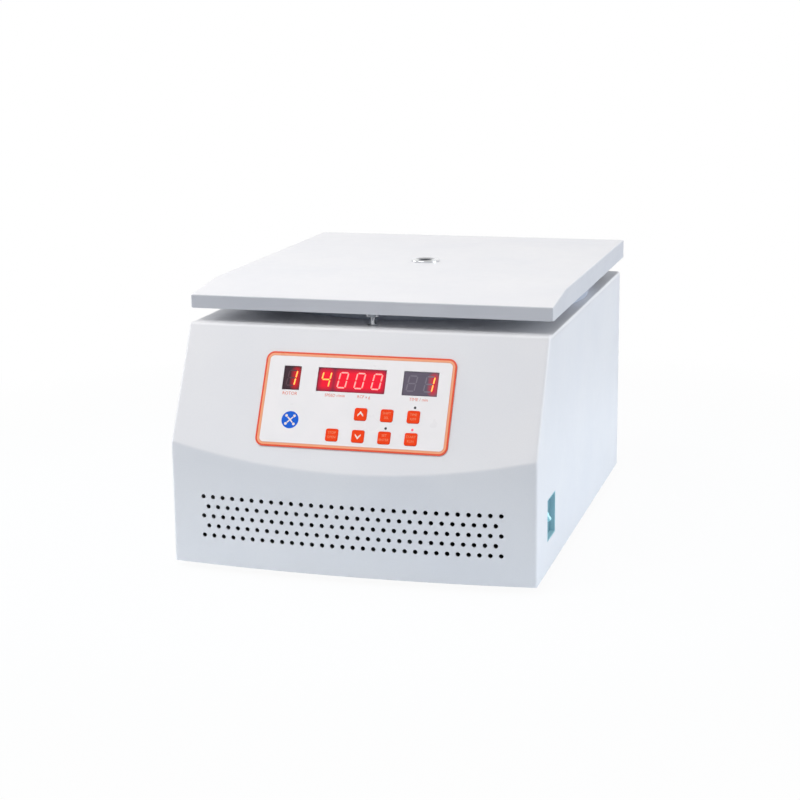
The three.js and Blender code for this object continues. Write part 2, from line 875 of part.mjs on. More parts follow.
// A cast disc with a slot for each bucket, grooves for the bucket pins in the slot sides,
// scalloped arms and a bored hub.
function rotorHead() {
  const outerRadius = Math.hypot(pivotRadius + rotor.armEnd, slotHalf);
  const disc = bar(outerRadius, -headTop, headTop, rotor.segments);
  const hub = bar(rotor.hubRadius, 0, hubTop, motor.segments);
  const sweep = Math.hypot(bucketRim, bucket.rise);
  const slotEnd = pivotRadius - sweep - rotor.swingClearance;
  const cutters = [bar(rotor.shaftRadius, -headTop - cutOverrun, hubTop + cutOverrun, motor.segments / 2)];
  for (let k = 0; k < bucket.count; k++) {
    const angle = (k * 360) / bucket.count;
    const slot = block(
      [slotEnd, -slotHalf, -headTop - cutOverrun],
      [outerRadius + cutOverrun, slotHalf, headTop + cutOverrun],
    );
    const reach = bucketRim + bucket.pinLength + gap;
    const grooveRadius = bucket.pinRadius + gap;
    const round = solidOf(
      new THREE.CylinderGeometry(grooveRadius, grooveRadius, 2 * reach, lock.segments).translate(pivotRadius, 0, 0),
    );
    const open = block(
      [pivotRadius - grooveRadius, -reach, 0],
      [pivotRadius + grooveRadius, reach, headTop + cutOverrun],
    );
    const halfStep = 180 / bucket.count;
    const scallop = bar(
      rotor.scallopRadius,
      -headTop - cutOverrun,
      headTop + cutOverrun,
      motor.segments,
      outerRadius + rotor.scallopRadius / 2,
      0,
    ).rotate([0, 0, halfStep]);
    cutters.push(...[slot, round, open, scallop].map((cutter) => cutter.rotate([0, 0, angle])));
  }
  return without(disc.add(hub), cutters);
}

// A fluted knob with a blind bore, screwed down on the shaft's end.
function rotorNut() {
  const steps = rotor.nutFlutes * 3;
  const outline = Array.from({ length: steps }, (_, k) => {
    const angle = (2 * Math.PI * k) / steps;
    const radius = rotor.nutRadius + rotor.nutFluteDepth * (Math.cos(rotor.nutFlutes * angle) - 1);
    return new THREE.Vector2(radius * Math.cos(angle), radius * Math.sin(angle));
  });
  const low = hubTop + gap;
  const knob = raised(outline, low, rotor.nutHeight);
  const boreTop = hubTop + rotor.nutHeight / 2 + gap;
  return without(knob, [bar(rotor.shaftRadius, low - cutOverrun, boreTop, motor.segments / 2)]);
}

// ---- Buckets, drawn about their own axis with z measured from the pivots

const bucketInner = bucketRadius - bucket.wall;

function bucketSolid() {
  const bottom = -bucketDrop;
  const outside = [bucketRadius - bucket.baseRadius, bottom + bucket.baseRadius];
  const cup = turned(
    [
      [0, bottom],
      ...quarter(outside, bucket.baseRadius, -Math.PI / 2, 0, caseFold.arcSteps),
      [bucketRadius, bucket.rise - bucket.rimHeight],
      [bucketRim, bucket.rise - bucket.rimHeight],
      [bucketRim, bucket.rise],
      [bucketInner, bucket.rise],
      ...quarter(outside, bucket.baseRadius - bucket.wall, 0, -Math.PI / 2, caseFold.arcSteps),
      [0, bottom + bucket.wall],
    ],
    bucket.segments,
  );
  const pins = [-1, 1].map((side) => {
    const near = bucketInner + bucket.wall / 2;
    const far = bucketRim + bucket.pinLength;
    return barAlongY(bucket.pinRadius, ...(side > 0 ? [near, far] : [-far, -near]), lock.segments);
  });
  return joined([cup, ...pins]);
}

// A moulded sleeve that cushions one round tube in its bucket.
function insertSolid() {
  const outer = bucketInner - gap;
  const bottom = bucket.wall + gap - bucketDrop;
  const edge = bucket.baseRadius - bucket.wall - gap;
  const centre = [bucketRadius - bucket.baseRadius, bucket.baseRadius - bucketDrop];
  const hole = outer - insert.wall;
  return turned(
    [
      [0, bottom],
      ...quarter(centre, edge, -Math.PI / 2, 0, caseFold.arcSteps),
      [outer, bucket.rise],
      [hole + insert.chamfer, bucket.rise],
      [hole, bucket.rise - insert.chamfer],
      [hole, bottom + insert.floor],
      [0, bottom + insert.floor],
    ],
    bucket.segments,
  );
}

// ---- Lid

// The lid's side outline, taken in by an amount, with its lower edge at z.
function lidOutline(inset, low) {
  const slope = Math.atan2(lid.height - lid.frontRim, lid.bevelRun);
  const riseLoss = inset / Math.cos(slope);
  const frontTop = lidBottom + lid.frontRim + inset * Math.tan(slope) - riseLoss;
  const top = lidBottom + lid.height - inset;
  const breakY = lidFront + lid.bevelRun + inset * Math.tan(slope / 2);
  const radius = lid.foldRadius - inset;
  return roundedOutline([
    [lidFront + inset, low],
    [lidRear - inset, low],
    [lidRear - inset, top, radius],
    [breakY, top],
    [lidFront + inset, frontTop, radius],
  ]);
}

function lidShell() {
  const r = lid.sideRadius;
  const shape = new THREE.Shape(lidOutline(0, lidBottom - 2 * r));
  const outer = solidOf(
    new THREE.ExtrudeGeometry(shape, {
      depth: 2 * (lidHalfWidth - r),
      bevelThickness: r,
      bevelSize: r,
      bevelOffset: -r,
      bevelSegments: caseFold.arcSteps,
    })
      .applyMatrix4(sideways)
      .translate(r - lidHalfWidth, 0, 0),
  );
  const below = block(
    [-lidHalfWidth - cutOverrun, lidFront - cutOverrun, lidBottom - 2 * r - cutOverrun],
    [lidHalfWidth + cutOverrun, lidRear + cutOverrun, lidBottom],
  );
  const cavity = acrossX(lidOutline(sheet, lidBottom - cutOverrun), sheet - lidHalfWidth, lidHalfWidth - sheet);
  const port = bar(
    sight.boreRadius + sight.sleeveWall + gap,
    lidBottom,
    lidBottom + lid.height + cutOverrun,
    sight.segments,
    0,
    chamberY,
  );
  return without(outer, [below, cavity, port]);
}

function lidLiner() {
  const half = lidHalfWidth - sheet - gap;
  const [y0, y1] = [lidFront + sheet + gap, lidRear - sheet - gap];
  const plan = rectangle(2 * half, y1 - y0, lid.foldRadius).map(
    (p) => new THREE.Vector2(p.x, p.y + (y0 + y1) / 2),
  );
  const plate = raised(plan, linerBottom, liningSheet);
  const port = bar(
    sight.linerHole,
    linerBottom - cutOverrun,
    linerBottom + liningSheet + cutOverrun,
    sight.segments,
    0,
    chamberY,
  );
  return without(plate, [port]);
}

const lidTop = lidBottom + lid.height;

function sightBezel() {
  const sleeve = sight.boreRadius + sight.sleeveWall;
  const low = linerBottom;
  const flangeLow = lidTop + gap;
  const ledgeTop = low + sight.glassThickness;
  return turned(
    [
      [sight.boreRadius - sight.ledge, low],
      [sleeve, low],
      [sleeve, flangeLow],
      [sight.flangeRadius, flangeLow],
      [sight.flangeRadius, flangeLow + sight.flangeHeight / 2],
      [sight.flangeRadius - sight.flangeHeight, flangeLow + sight.flangeHeight],
      [sight.boreRadius, flangeLow + sight.flangeHeight],
      [sight.boreRadius, ledgeTop],
      [sight.boreRadius - sight.ledge, ledgeTop],
    ],
    sight.segments,
  );
}

// The ring under the liner that covers its wide hole and holds the bezel's sleeve.
function sightRetainer() {
  const high = linerBottom - gap;
  const [inner, outer] = [sight.boreRadius - sight.ledge, sight.linerHole + sight.retainerLap];
  return turned(
    [
      [inner, high - sight.retainerThickness],
      [outer, high - sight.retainerThickness],
      [outer, high],
      [inner, high],
    ],
    chamber.segments,
  );
}

const sightWindow = () => {
  const low = linerBottom + sight.glassThickness + gap;
  return bar(sight.boreRadius - gap, low, low + sight.glassThickness, sight.segments);
};

function lockPin() {
  const washerTop = lidBottom - lock.washerBelowEdge;
  const washerLow = washerTop - lock.washerThickness;
  const collarTop = caseHeight + lock.collarTop;
  const collarLow = collarTop - lock.collarHeight;
  const neckLow = collarLow - lock.neckHeight;
  const noseLow = neckLow - lock.noseHeight;
  return turned(
    [
      [0, noseLow],
      [lock.neckRadius, noseLow],
      [lock.collarRadius, noseLow + lock.neckRadius],
      [lock.collarRadius, neckLow],
      [lock.neckRadius, neckLow],
      [lock.neckRadius, collarLow],
      [lock.collarRadius, collarLow],
      [lock.collarRadius, collarTop],
      [lock.studRadius, collarTop],
      [lock.studRadius, washerLow],
      [lock.washerRadius, washerLow],
      [lock.washerRadius, washerTop],
      [lock.studRadius, washerTop],
      [lock.studRadius, linerBottom - gap],
      [0, linerBottom - gap],
    ],
    lock.segments,
  );
}

// ---- Hinges, drawn about their own pivot

const knuckle = (hinge.width - 2 * gap) / 3;

// The fixed leaf lies on the back of the case. Its two outer knuckles hold the pin, which is
// riveted in and runs through the lid arm's knuckle.
function hingeLeafSolid() {
  const leafFace = gap - hinge.behind; // the leaf's inner face, from the pivot
  const top = -hinge.above;
  const half = hinge.width / 2;
  const leaf = block([-half, leafFace, top - hinge.leafHeight], [half, leafFace + hinge.leafThickness, top]);
  const knuckles = [-1, 1].map((side) => {
    const [x0, x1] = side > 0 ? [half - knuckle, half] : [-half, knuckle - half];
    const web = acrossX(
      [
        new THREE.Vector2(leafFace, top),
        new THREE.Vector2(leafFace + hinge.leafThickness, top - hinge.leafThickness),
        new THREE.Vector2(hinge.barrelRadius, 0),
        new THREE.Vector2(-hinge.barrelRadius, 0),
        new THREE.Vector2(leafFace, -hinge.barrelRadius),
      ],
      x0,
      x1,
    );
    return web.add(barAlongX(hinge.barrelRadius, x0, x1, hinge.segments));
  });
  const pin = barAlongX(hinge.pinRadius, -half - hinge.pinHead, half + hinge.pinHead, hinge.segments);
  const heads = [-1, 1].map((side) => {
    const [x0, x1] = side > 0 ? [half, half + hinge.pinHead] : [-half - hinge.pinHead, -half];
    return barAlongX(hinge.barrelRadius - hinge.pinHead, x0, x1, hinge.segments);
  });
  return joined([leaf, ...knuckles, pin, ...heads]);
}

// The lid's arm: a leaf under the lid's lining with the middle knuckle.
function lidHingeSolid() {
  const bore = hinge.pinRadius + hinge.runningGap;
  const half = knuckle / 2;
  const under = linerBottom - gap - caseHeight - hinge.above; // the lining's underside, from the pivot
  const leafLow = under - hinge.leafThickness;
  const wide = hinge.width / 2;
  const leaf = block([-wide, -hinge.leafReach, leafLow], [wide, hinge.barrelRadius, under]);
  const web = block([-half, -hinge.barrelRadius, 0], [half, hinge.barrelRadius, under]);
  const barrel = barAlongX(hinge.barrelRadius, -half, half, hinge.segments);
  return without(joined([leaf, web, barrel]), [
    barAlongX(bore, -half - cutOverrun, half + cutOverrun, hinge.segments),
  ]);
}

// ---- Lid lock, drawn about the pin's axis with z in the case's frame

const collarLow = caseHeight + lock.collarTop - lock.collarHeight;
const neckMiddle = collarLow - lock.neckHeight / 2;
const webTop = caseHeight - sheet - gap - bracket.thickness - bracket.web;
const tailReach = hook.tail;

// A hat-section bracket under the deck: two flanges, a web with the pin's hole, and the hook's post.
function lockBracket() {
  const half = bracket.width / 2;
  const top = caseHeight - sheet - gap;
  const t = bracket.thickness;
  const outline = [
    [-half - bracket.flange, top - t],
    [-half - bracket.flange, top],
    [-half + t, top],
    [-half + t, webTop],
    [half - t, webTop],
    [half - t, top],
    [half + bracket.flange, top],
    [half + bracket.flange, top - t],
    [half, top - t],
    [half, webTop - t],
    [-half, webTop - t],
    [-half, top - t],
  ].map(([x, z]) => new THREE.Vector2(x, z));
  const hat = alongY(outline, -bracket.depth / 3, (2 * bracket.depth) / 3);
  const post = bar(hook.pivotRadius, webTop - t / 2, neckMiddle + hook.thickness, lock.segments, hook.arm);
  const shoulder = bar(
    hook.hubRadius,
    webTop - t / 2,
    neckMiddle - hook.thickness / 2 - gap,
    lock.segments,
    hook.arm,
  );
  const hole = bar(
    lock.collarRadius + bracket.noseGap,
    webTop - t - cutOverrun,
    webTop + cutOverrun,
    lock.segments,
  );
  return without(joined([hat, post, shoulder]), [hole]);
}

// The hook about its pivot, drawn locked: its jaw reaches back to the pin's neck, its tail leans
// half the swing the other way.
function lockHook() {
  const slot = lock.neckRadius + hook.slotGap;
  const height = hook.thickness;
  const low = neckMiddle - height / 2;
  const steps = 4;
  const spread = (hook.jaw + hook.lip) / hook.arm; // the jaw's half angle about the pivot
  const arc = (radius, from, to) =>
    Array.from({ length: steps + 1 }, (_, k) => {
      const angle = Math.PI + from + ((to - from) * k) / steps;
      return new THREE.Vector2(radius * Math.cos(angle), radius * Math.sin(angle));
    });
  const inner = hook.arm - hook.jaw;
  const outer = hook.arm + hook.jaw;
  const jaw = raised([...arc(outer, -spread, spread / 2), ...arc(inner, spread / 2, -spread)], low, height);
  const mouth = raised(
    [...arc(hook.arm + slot, -spread - gap, 0), ...arc(hook.arm - slot, 0, -spread - gap)],
    low - cutOverrun,
    height + 2 * cutOverrun,
  );
  const seat = bar(slot, low - cutOverrun, low + height + cutOverrun, lock.segments, -hook.arm);
  const hub = bar(hook.hubRadius, low, low + height, lock.segments);
  const stemWidth = hook.hubRadius;
  const stem = block([-hook.arm + slot + gap, -stemWidth / 2, low], [0, stemWidth, low + height]);
  const tailEnd = tailReach + solenoid.pinRadius + hook.slotGap + sheet;
  const tail = block([0, -stemWidth / 2, low], [tailEnd, stemWidth / 2, low + height]);
  const slotLength = 2 * (tailReach * (1 - Math.cos(hook.swing / 2)) + solenoid.pinRadius + gap);
  const tailSlot = block(
    [tailReach - slotLength, -solenoid.pinRadius - gap, low - cutOverrun],
    [tailReach + solenoid.pinRadius + gap, solenoid.pinRadius + gap, low + height + cutOverrun],
  );
  const tailTurn = (-hook.swing / 2 / Math.PI) * 180;
  const solid = joined([jaw, stem, hub, tail.subtract(tailSlot).rotate([0, 0, tailTurn])]);
  return without(solid, [
    mouth,
    seat,
    bar(hook.pivotRadius + gap, low - cutOverrun, low + height + cutOverrun, lock.segments),
  ]);
}

const plungerX = hook.arm + tailReach * Math.cos(hook.swing / 2);
const plungerZ = neckMiddle;

function lockSolenoid() {
  const half = solenoid.width / 2;
  const low = webTop + gap;
  const body = block(
    [plungerX - half, solenoid.start, low],
    [plungerX + half, solenoid.start + solenoid.length, low + solenoid.height],
  );
  return without(body, [
    barAlongY(
      solenoid.plungerRadius + gap,
      solenoid.start - cutOverrun,
      solenoid.start + solenoid.length - sheet,
      lock.segments,
      plungerX,
      plungerZ,
    ),
  ]);
}

// The plunger at rest, holding the hook released.
function solenoidPlunger() {
  const pinY = tailReach * Math.sin(hook.swing / 2);
  const low = neckMiddle - hook.thickness / 2 - sheet;
  const high = neckMiddle + hook.thickness / 2 + sheet;
  const far = solenoid.start + solenoid.length / 2;
  const yokeY = pinY + hook.hubRadius / 2 + sheet;
  const rod = barAlongY(solenoid.plungerRadius, yokeY, far, lock.segments, plungerX, plungerZ);
  const yoke = block(
    [plungerX - solenoid.pinRadius, pinY, high],
    [plungerX + solenoid.pinRadius, yokeY + sheet, high + sheet],
  );
  const riser = block(
    [plungerX - solenoid.pinRadius, yokeY, plungerZ],
    [plungerX + solenoid.pinRadius, yokeY + sheet, high + sheet],
  );
  const pin = bar(solenoid.pinRadius, low, high + sheet, lock.segments, plungerX, pinY);
  return joined([rod, yoke, riser, pin]);
}

// ---- Mains breaker in the right side, and the inlet at the back

const breakerY = breaker.frontMargin + breaker.cutWidth / 2;
const breakerZ = breaker.bottomMargin + breaker.cutHeight / 2;
const leverX = -breaker.recess - breaker.leverHub / 2; // the lever's axis, from the outside of the panel

// Drawn from the outer face of the side panel, with y and z about the cut-out's centre.
function breakerBody() {
  const w = breaker.cutWidth / 2 - gap;
  const h = breaker.cutHeight / 2 - gap;
  const panelBack = -sheet - gap;
  const flangeBack = -breaker.recess - breaker.wall; // one wall behind the pocket
  const bodyBack = flangeBack - breaker.bodyDepth;
  const nose = block([flangeBack, -w, -h], [0, w, h]);
  const flange = block(
    [flangeBack, -w - breaker.flange, -h - breaker.flange],
    [panelBack, w + breaker.flange, h + breaker.flange],
  );
  const [poles, half] = [breaker.bodyWidth / 2, breaker.bodyHeight / 2];
  const body = block([bodyBack, -poles, -half], [flangeBack, poles, half]);
  const pocket = block(
    [-breaker.recess, breaker.wall - w, breaker.wall - h],
    [cutOverrun, w - breaker.wall, h - breaker.wall],
  );
  const slot = barAlongY(
    breaker.leverHub + breaker.leverSlotGap,
    -breaker.leverWidth / 2 - gap,
    breaker.leverWidth / 2 + gap,
    hinge.segments,
    leverX,
    0,
  );
  return without(joined([nose, flange, body]), [pocket, slot]);
}

// The lever about its own axis: a round hub and a tapering finger, one for both poles.
function breakerLever() {
  const r = breaker.leverHub;
  const finger = [
    [0, -r],
    [breaker.leverReach, -breaker.leverTip],
    [breaker.leverReach + breaker.leverTip / 2, 0],
    [breaker.leverReach, breaker.leverTip],
    [0, r],
  ].map(([x, z]) => new THREE.Vector2(x, z));
  const half = breaker.leverWidth / 2;
  return joined([alongY(finger, -half, half), barAlongY(r, -half, half, hinge.segments)]);
}

// Drawn from the outer face of the rear panel, with x and z about the socket's centre.
function powerInlet() {
  const flange = alongY(
    rectangle(inlet.flangeWidth, inlet.flangeHeight, inlet.cornerRadius),
    gap,
    gap + inlet.flangeThickness,
  );
  const body = block(
    [-inlet.width / 2, gap - inlet.depth, -inlet.height / 2],
    [inlet.width / 2, gap + inlet.flangeThickness, inlet.height / 2],
  );
  const outer = gap + inlet.flangeThickness;
  const low = outer - inlet.cavityDepth;
  const w = inlet.width / 2 - inlet.wall;
  const h = inlet.height / 2 - inlet.wall;
  const chamfer = h / 2;
  const mouth = roundedOutline([
    [-w, -h],
    [w, -h],
    [w, h - chamfer],
    [w - chamfer, h],
    [chamfer - w, h],
    [-w, h - chamfer],
  ]);
  const cavity = alongY(mouth, low, outer + cutOverrun);
  const pins = [-1, 0, 1].map((k) => {
    const lift = k ? 0 : inlet.pinWidth / 2;
    return block(
      [k * inlet.pinSpacing - inlet.pinThickness / 2, low - inlet.wall / 2, lift - inlet.pinWidth / 2],
      [k * inlet.pinSpacing + inlet.pinThickness / 2, low + inlet.pinLength, lift + inlet.pinWidth / 2],
    );
  });
  return joined([without(flange.add(body), [cavity]), ...pins]);
}

// ---- Control face pieces

const overlayLow = gap;
const overlayHigh = overlayLow + overlay.thickness;
const displayFace = overlayHigh - digit.windowGap;
const boardFront = displayFace - digit.depth - gap;

const controlOverlay = () =>
  raised(
    rectangle(overlay.width, overlay.height, overlay.cornerRadius),
    overlayLow,
    overlay.thickness,
    controlOpenings(),
  );

function displayModule(digits) {
  const bevel = digit.edge;
  const shape = new THREE.Shape(rectangle(digits * digit.width, digit.height));
  return solidOf(
    new THREE.ExtrudeGeometry(shape, {
      depth: digit.depth - 2 * bevel,
      bevelThickness: bevel,
      bevelSize: bevel,
      bevelOffset: -bevel,
      bevelSegments: 1,
    }).translate(0, 0, displayFace - digit.depth + bevel),
  );
}

function keySolid() {
  const top = overlayHigh + key.proud;
  const low = top - key.capDepth;
  const shape = new THREE.Shape(rectangle(key.side, key.side, key.cornerRadius, 1));
  const cap = solidOf(
    new THREE.ExtrudeGeometry(shape, {
      depth: key.capDepth - 2 * key.chamfer,
      bevelThickness: key.chamfer,
      bevelSize: key.chamfer,
      bevelOffset: -key.chamfer,
      bevelSegments: 1,
    }).translate(0, 0, low + key.chamfer),
  );
  const plungerTop = boardFront + keySwitch.height + keySwitch.plungerHeight;
  const stem = bar(key.stemRadius, plungerTop + key.travel + gap, low + gap, lock.segments / 2);
  return cap.add(stem);
}

function controlBoard() {
  const width = overlay.width - 2 * board.margin;
  const height = overlay.height - 2 * board.margin;
  const low = boardFront - board.thickness;
  const plate = raised(rectangle(width, height, board.postInset), low, board.thickness);
  const posts = [];
  for (const sx of [-1, 1])
    for (const sy of [-1, 1])
      posts.push(
        bar(
          board.postRadius,
          low + board.thickness / 2,
          -sheet - gap,
          lock.segments / 2,
          sx * (width / 2 - board.postInset),
          sy * (height / 2 - board.postInset),
        ),
      );
  const switches = keys.flatMap((each) => {
    const [x, y] = keyPlace(each);
    const half = keySwitch.side / 2;
    const body = block(
      [x - half, y - half, low + board.thickness / 2],
      [x + half, y + half, boardFront + keySwitch.height],
    );
    const tip = keySwitch.plungerRadius;
    const plunger = block(
      [x - tip, y - tip, boardFront],
      [x + tip, y + tip, boardFront + keySwitch.height + keySwitch.plungerHeight],
    );
    return [body, plunger];
  });
  return joined([plate, ...posts, ...switches]);
}

// ---- Assembly

const centrifuge = new THREE.Group();
const cabinet = placed(new THREE.Group(), 0, caseFrontY, foot.height);
centrifuge.add(cabinet);

cabinet.add(
  piece("front_panel", frontPanel(), paint),
  piece("left_side_panel", sidePanel(-1), paint),
  piece("right_side_panel", sidePanel(1), paint),
  piece("top_deck", topDeck(), paint),
  piece("rear_panel", rearPanel(), paint),
  piece("base_plate", basePlate(), darkSteel),
);
for (const { name, x, y } of footPlaces) cabinet.add(placed(piece(name, footSolid(), rubber), x, y, 0));

const chamberAxis = placed(new THREE.Group(), 0, chamberY, 0);
cabinet.add(chamberAxis);
chamberAxis.add(
  piece("chamber_bowl", chamberBowl(), steel),
  piece("bowl_floor", bowlFloor(), steel),
  piece("chamber_seal", chamberSeal(), sealRubber),
  piece("guard_ring", guardRingSolid(), darkSteel),
  piece("shaft_boot", shaftBoot(), rubber),
  piece("motor_housing", motorHousing(), motorPaint),
  piece("motor_plate", motorPlateSolid(), darkSteel),
);
for (let k = 0; k < damper.count; k++) {
  const angle = Math.PI / 2 + (2 * Math.PI * k) / damper.count;
  chamberAxis.add(
    placed(
      piece(`damper_${k + 1}`, damperSolid(), rubber),
      damper.circleRadius * Math.cos(angle),
      damper.circleRadius * Math.sin(angle),
      0,
    ),
  );
}

const rotorGroup = placed(new THREE.Group(), 0, 0, pivotZ);
chamberAxis.add(rotorGroup);
rotorGroup.add(
  piece("drive_shaft", driveShaft(), steel),
  piece("rotor_head", rotorHead(), castAluminium),
  piece("rotor_nut", rotorNut(), chrome),
);
for (let k = 0; k < bucket.count; k++) {
  const arm = new THREE.Group();
  arm.rotation.z = (2 * Math.PI * k) / bucket.count;
  const hanging = placed(new THREE.Group(), pivotRadius, 0, 0);
  hanging.add(
    piece(`bucket_${k + 1}`, bucketSolid(), castAluminium),
    piece(`bucket_insert_${k + 1}`, insertSolid(), nylon),
  );
  arm.add(hanging);
  rotorGroup.add(arm);
}

const lidGroup = new THREE.Group();
cabinet.add(lidGroup);
lidGroup.add(
  piece("lid_shell", lidShell(), paint),
  piece("lid_liner", lidLiner(), steel),
  placed(piece("sight_bezel", sightBezel(), chrome), 0, chamberY, 0),
  placed(piece("sight_window", sightWindow(), clear), 0, chamberY, 0),
  placed(piece("sight_retainer", sightRetainer(), steel), 0, chamberY, 0),
  placed(piece("lock_pin", lockPin(), chrome), 0, lockY, 0),
);
const hingeX = halfWidth - hinge.fromSide;
for (const [side, x] of [["left", -hingeX], ["right", hingeX]]) {
  const pivot = placed(new THREE.Group(), x, caseDepth + hinge.behind, caseHeight + hinge.above);
  pivot.add(
    piece(`hinge_leaf_${side}`, hingeLeafSolid(), steel),
    piece(`lid_hinge_${side}`, lidHingeSolid(), steel),
  );
  cabinet.add(pivot);
}

const lockGroup = placed(new THREE.Group(), 0, lockY, 0);
cabinet.add(lockGroup);
const releasedHook = placed(piece("lock_hook", lockHook(), darkSteel), hook.arm, 0, 0);
releasedHook.rotation.z = hook.swing;
lockGroup.add(
  piece("lock_bracket", lockBracket(), steel),
  releasedHook,
  piece("lock_solenoid", lockSolenoid(), black),
  piece("solenoid_plunger", solenoidPlunger(), steel),
);

const breakerGroup = placed(new THREE.Group(), halfWidth, breakerY, breakerZ);
const lever = placed(piece("breaker_lever", breakerLever(), leverBlue), leverX, 0, 0);
lever.rotation.y = breaker.leverLowered;
breakerGroup.add(piece("breaker_body", breakerBody(), mouldedGrey), lever);
cabinet.add(
  breakerGroup,
  placed(
    piece("power_inlet", powerInlet(), black),
    halfWidth - sheet - gap - inlet.fromRight,
    caseDepth,
    inlet.fromBottom,
  ),
);

const controlFace = new THREE.Group();
controlFace.applyMatrix4(controlPlane);
cabinet.add(controlFace);
controlFace.add(piece("control_overlay", controlOverlay(), overlayFilm), piece("control_board", controlBoard(), circuitGreen));
for (const { name, digits, placeShare } of displays)
  controlFace.add(
    placed(piece(name, displayModule(digits), displayRed), columnX(placeShare), rowY(displayRowShare), 0),
  );
for (const each of keys) {
  const [x, y] = keyPlace(each);
  controlFace.add(placed(piece(each.name, keySolid(), keyOrange), x, y, 0));
}

export default centrifuge;
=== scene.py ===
# %% [markdown]
# # A benchtop centrifuge, dressed for the camera
#
# The engineering model already holds every panel, hinge, bucket and key at its real size. This
# lesson gives it its surfaces: powder coat, stainless steel, cast aluminium, rubber, a printed
# control film with lit digits, and the round holes and soft edges that a coarse mesh leaves out.
# Shapes are drawn in millimetres and scaled to metres as they become meshes. +Z is up and the
# control panel faces -Y.

import json
from functools import partialmethod
from math import cos, degrees, pi, radians, sin, sqrt, tan

import bmesh
import bpy
from mathutils import Matrix, Vector


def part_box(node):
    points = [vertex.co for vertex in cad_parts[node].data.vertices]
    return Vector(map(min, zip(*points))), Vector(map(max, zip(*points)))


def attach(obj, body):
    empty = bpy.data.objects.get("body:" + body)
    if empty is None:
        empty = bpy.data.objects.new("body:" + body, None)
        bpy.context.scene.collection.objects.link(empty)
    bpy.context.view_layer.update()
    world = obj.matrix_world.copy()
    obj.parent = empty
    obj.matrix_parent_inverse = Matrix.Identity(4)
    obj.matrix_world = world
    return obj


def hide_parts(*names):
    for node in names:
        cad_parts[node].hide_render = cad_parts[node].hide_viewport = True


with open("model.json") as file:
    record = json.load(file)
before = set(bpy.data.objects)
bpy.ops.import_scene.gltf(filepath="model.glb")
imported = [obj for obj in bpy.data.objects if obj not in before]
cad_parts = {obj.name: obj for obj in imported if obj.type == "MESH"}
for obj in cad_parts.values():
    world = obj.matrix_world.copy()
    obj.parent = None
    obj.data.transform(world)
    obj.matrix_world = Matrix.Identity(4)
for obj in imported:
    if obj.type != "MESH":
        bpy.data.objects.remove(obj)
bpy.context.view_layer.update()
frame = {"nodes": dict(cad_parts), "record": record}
scene = bpy.context.scene
MM = 0.001


def box(node):
    """The low and the high corner of a node, in millimetres."""
    return [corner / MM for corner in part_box(node)]


def heights(node):
    """The lowest and the highest place of a node, in millimetres."""
    return [corner.z for corner in box(node)]


def middle(node):
    low, high = box(node)
    return (low + high) / 2


# %% [markdown]
# ## Sizes that several pieces share
#
# The case is one bent sheet at the front: a bowed lower face, a crease, and a face that leans
# back at 28.5 degrees and carries the controls. These few numbers describe that sheet. All the
# rest is read from the model's own boxes, so that each piece lands on the part that carries it.

# %% Name the shared sizes
LEAN = radians(28.5)
BOW = 13
SHEET = 1.5
CLEAR = 0.3
SLOPE = 144
TOP_FOLD = 4.5
DECK_RETURN = 12.57
CORNER = 3.5

front_low, front_high = box("front_panel")
HALF = front_high.x
CASE_Y = front_low.y + BOW
CASE_Z = front_low.z
DECK_Z = front_high.z
CREASE_Z = DECK_Z - SLOPE * cos(LEAN)
DECK_Y = CASE_Y + SLOPE * sin(LEAN)
BOW_RADIUS = (HALF**2 + BOW**2) / (2 * BOW)
CHAMBER = Vector((0, middle("chamber_seal").y, 0))
print("case", round(2 * HALF, 1), "wide, deck at", round(DECK_Z, 1), "chamber at", round(CHAMBER.y, 1))

# %% [markdown]
# ## The control face as a place of its own
#
# Film, keys and digits all lie in one leaning plane. A matrix with its origin in the middle of
# the film's printed face, +Y up the slope and +Z out of it lets us draw them flat, as a sign
# maker would, and then tip them into place together.

# %% Set up the leaning plane
FILM = {"width": 226, "height": 112.5, "corner": 10, "thick": 0.8}
outward = Vector((0, -cos(LEAN), sin(LEAN)))
face_origin = middle("control_overlay") + outward * FILM["thick"] / 2
FACE = Matrix.Translation(face_origin) @ Matrix.Rotation(pi / 2 - LEAN, 4, "X")


def on_face(node):
    """Where a node's middle lies on the control face."""
    return FACE.inverted() @ middle(node)


print("speed display at", [round(v, 2) for v in on_face("speed_display")])

# %% [markdown]
# ## The camera
#
# The view was worked out from the edges of the case and the rows of holes: a long lens, a
# little to the right of the centre line and above the lid, with half a degree of roll. Its
# place is counted from the foot of the case's front, in metres.

# %% Place the camera
FOCAL_PIXELS = 1818.2
PHOTO_PIXELS = 800
SENSOR = 36
AZIMUTH, ELEVATION, ROLL = (radians(a) for a in (15.82, 12.73, -0.63))
FROM_CASE = Vector((0.5940, -1.8851, 0.6481))

camera_data = bpy.data.cameras.new("camera")
camera_data.sensor_width = SENSOR
camera_data.lens = SENSOR * FOCAL_PIXELS / PHOTO_PIXELS
camera = bpy.data.objects.new("camera", camera_data)
camera.matrix_world = (
    Matrix.Translation(FROM_CASE + Vector((0, CASE_Y, CASE_Z)) * MM)
    @ Matrix.Rotation(AZIMUTH, 4, "Z")
    @ Matrix.Rotation(pi / 2 - ELEVATION, 4, "X")
    @ Matrix.Rotation(ROLL, 4, "Z")
)
scene.collection.objects.link(camera)
scene.camera = camera
scene.view_settings.view_transform = "Standard"
print("lens", round(camera_data.lens, 2), "mm")

# %% [markdown]
# ## Writing nodes as arithmetic
#
# A procedural finish is mostly small sums on coordinates. Placing Math nodes by hand hides the
# sum, so this class wraps an output socket and lets Python's operators add the Math nodes. One
# method, `node`, adds any other kind, for shaders and for geometry alike.


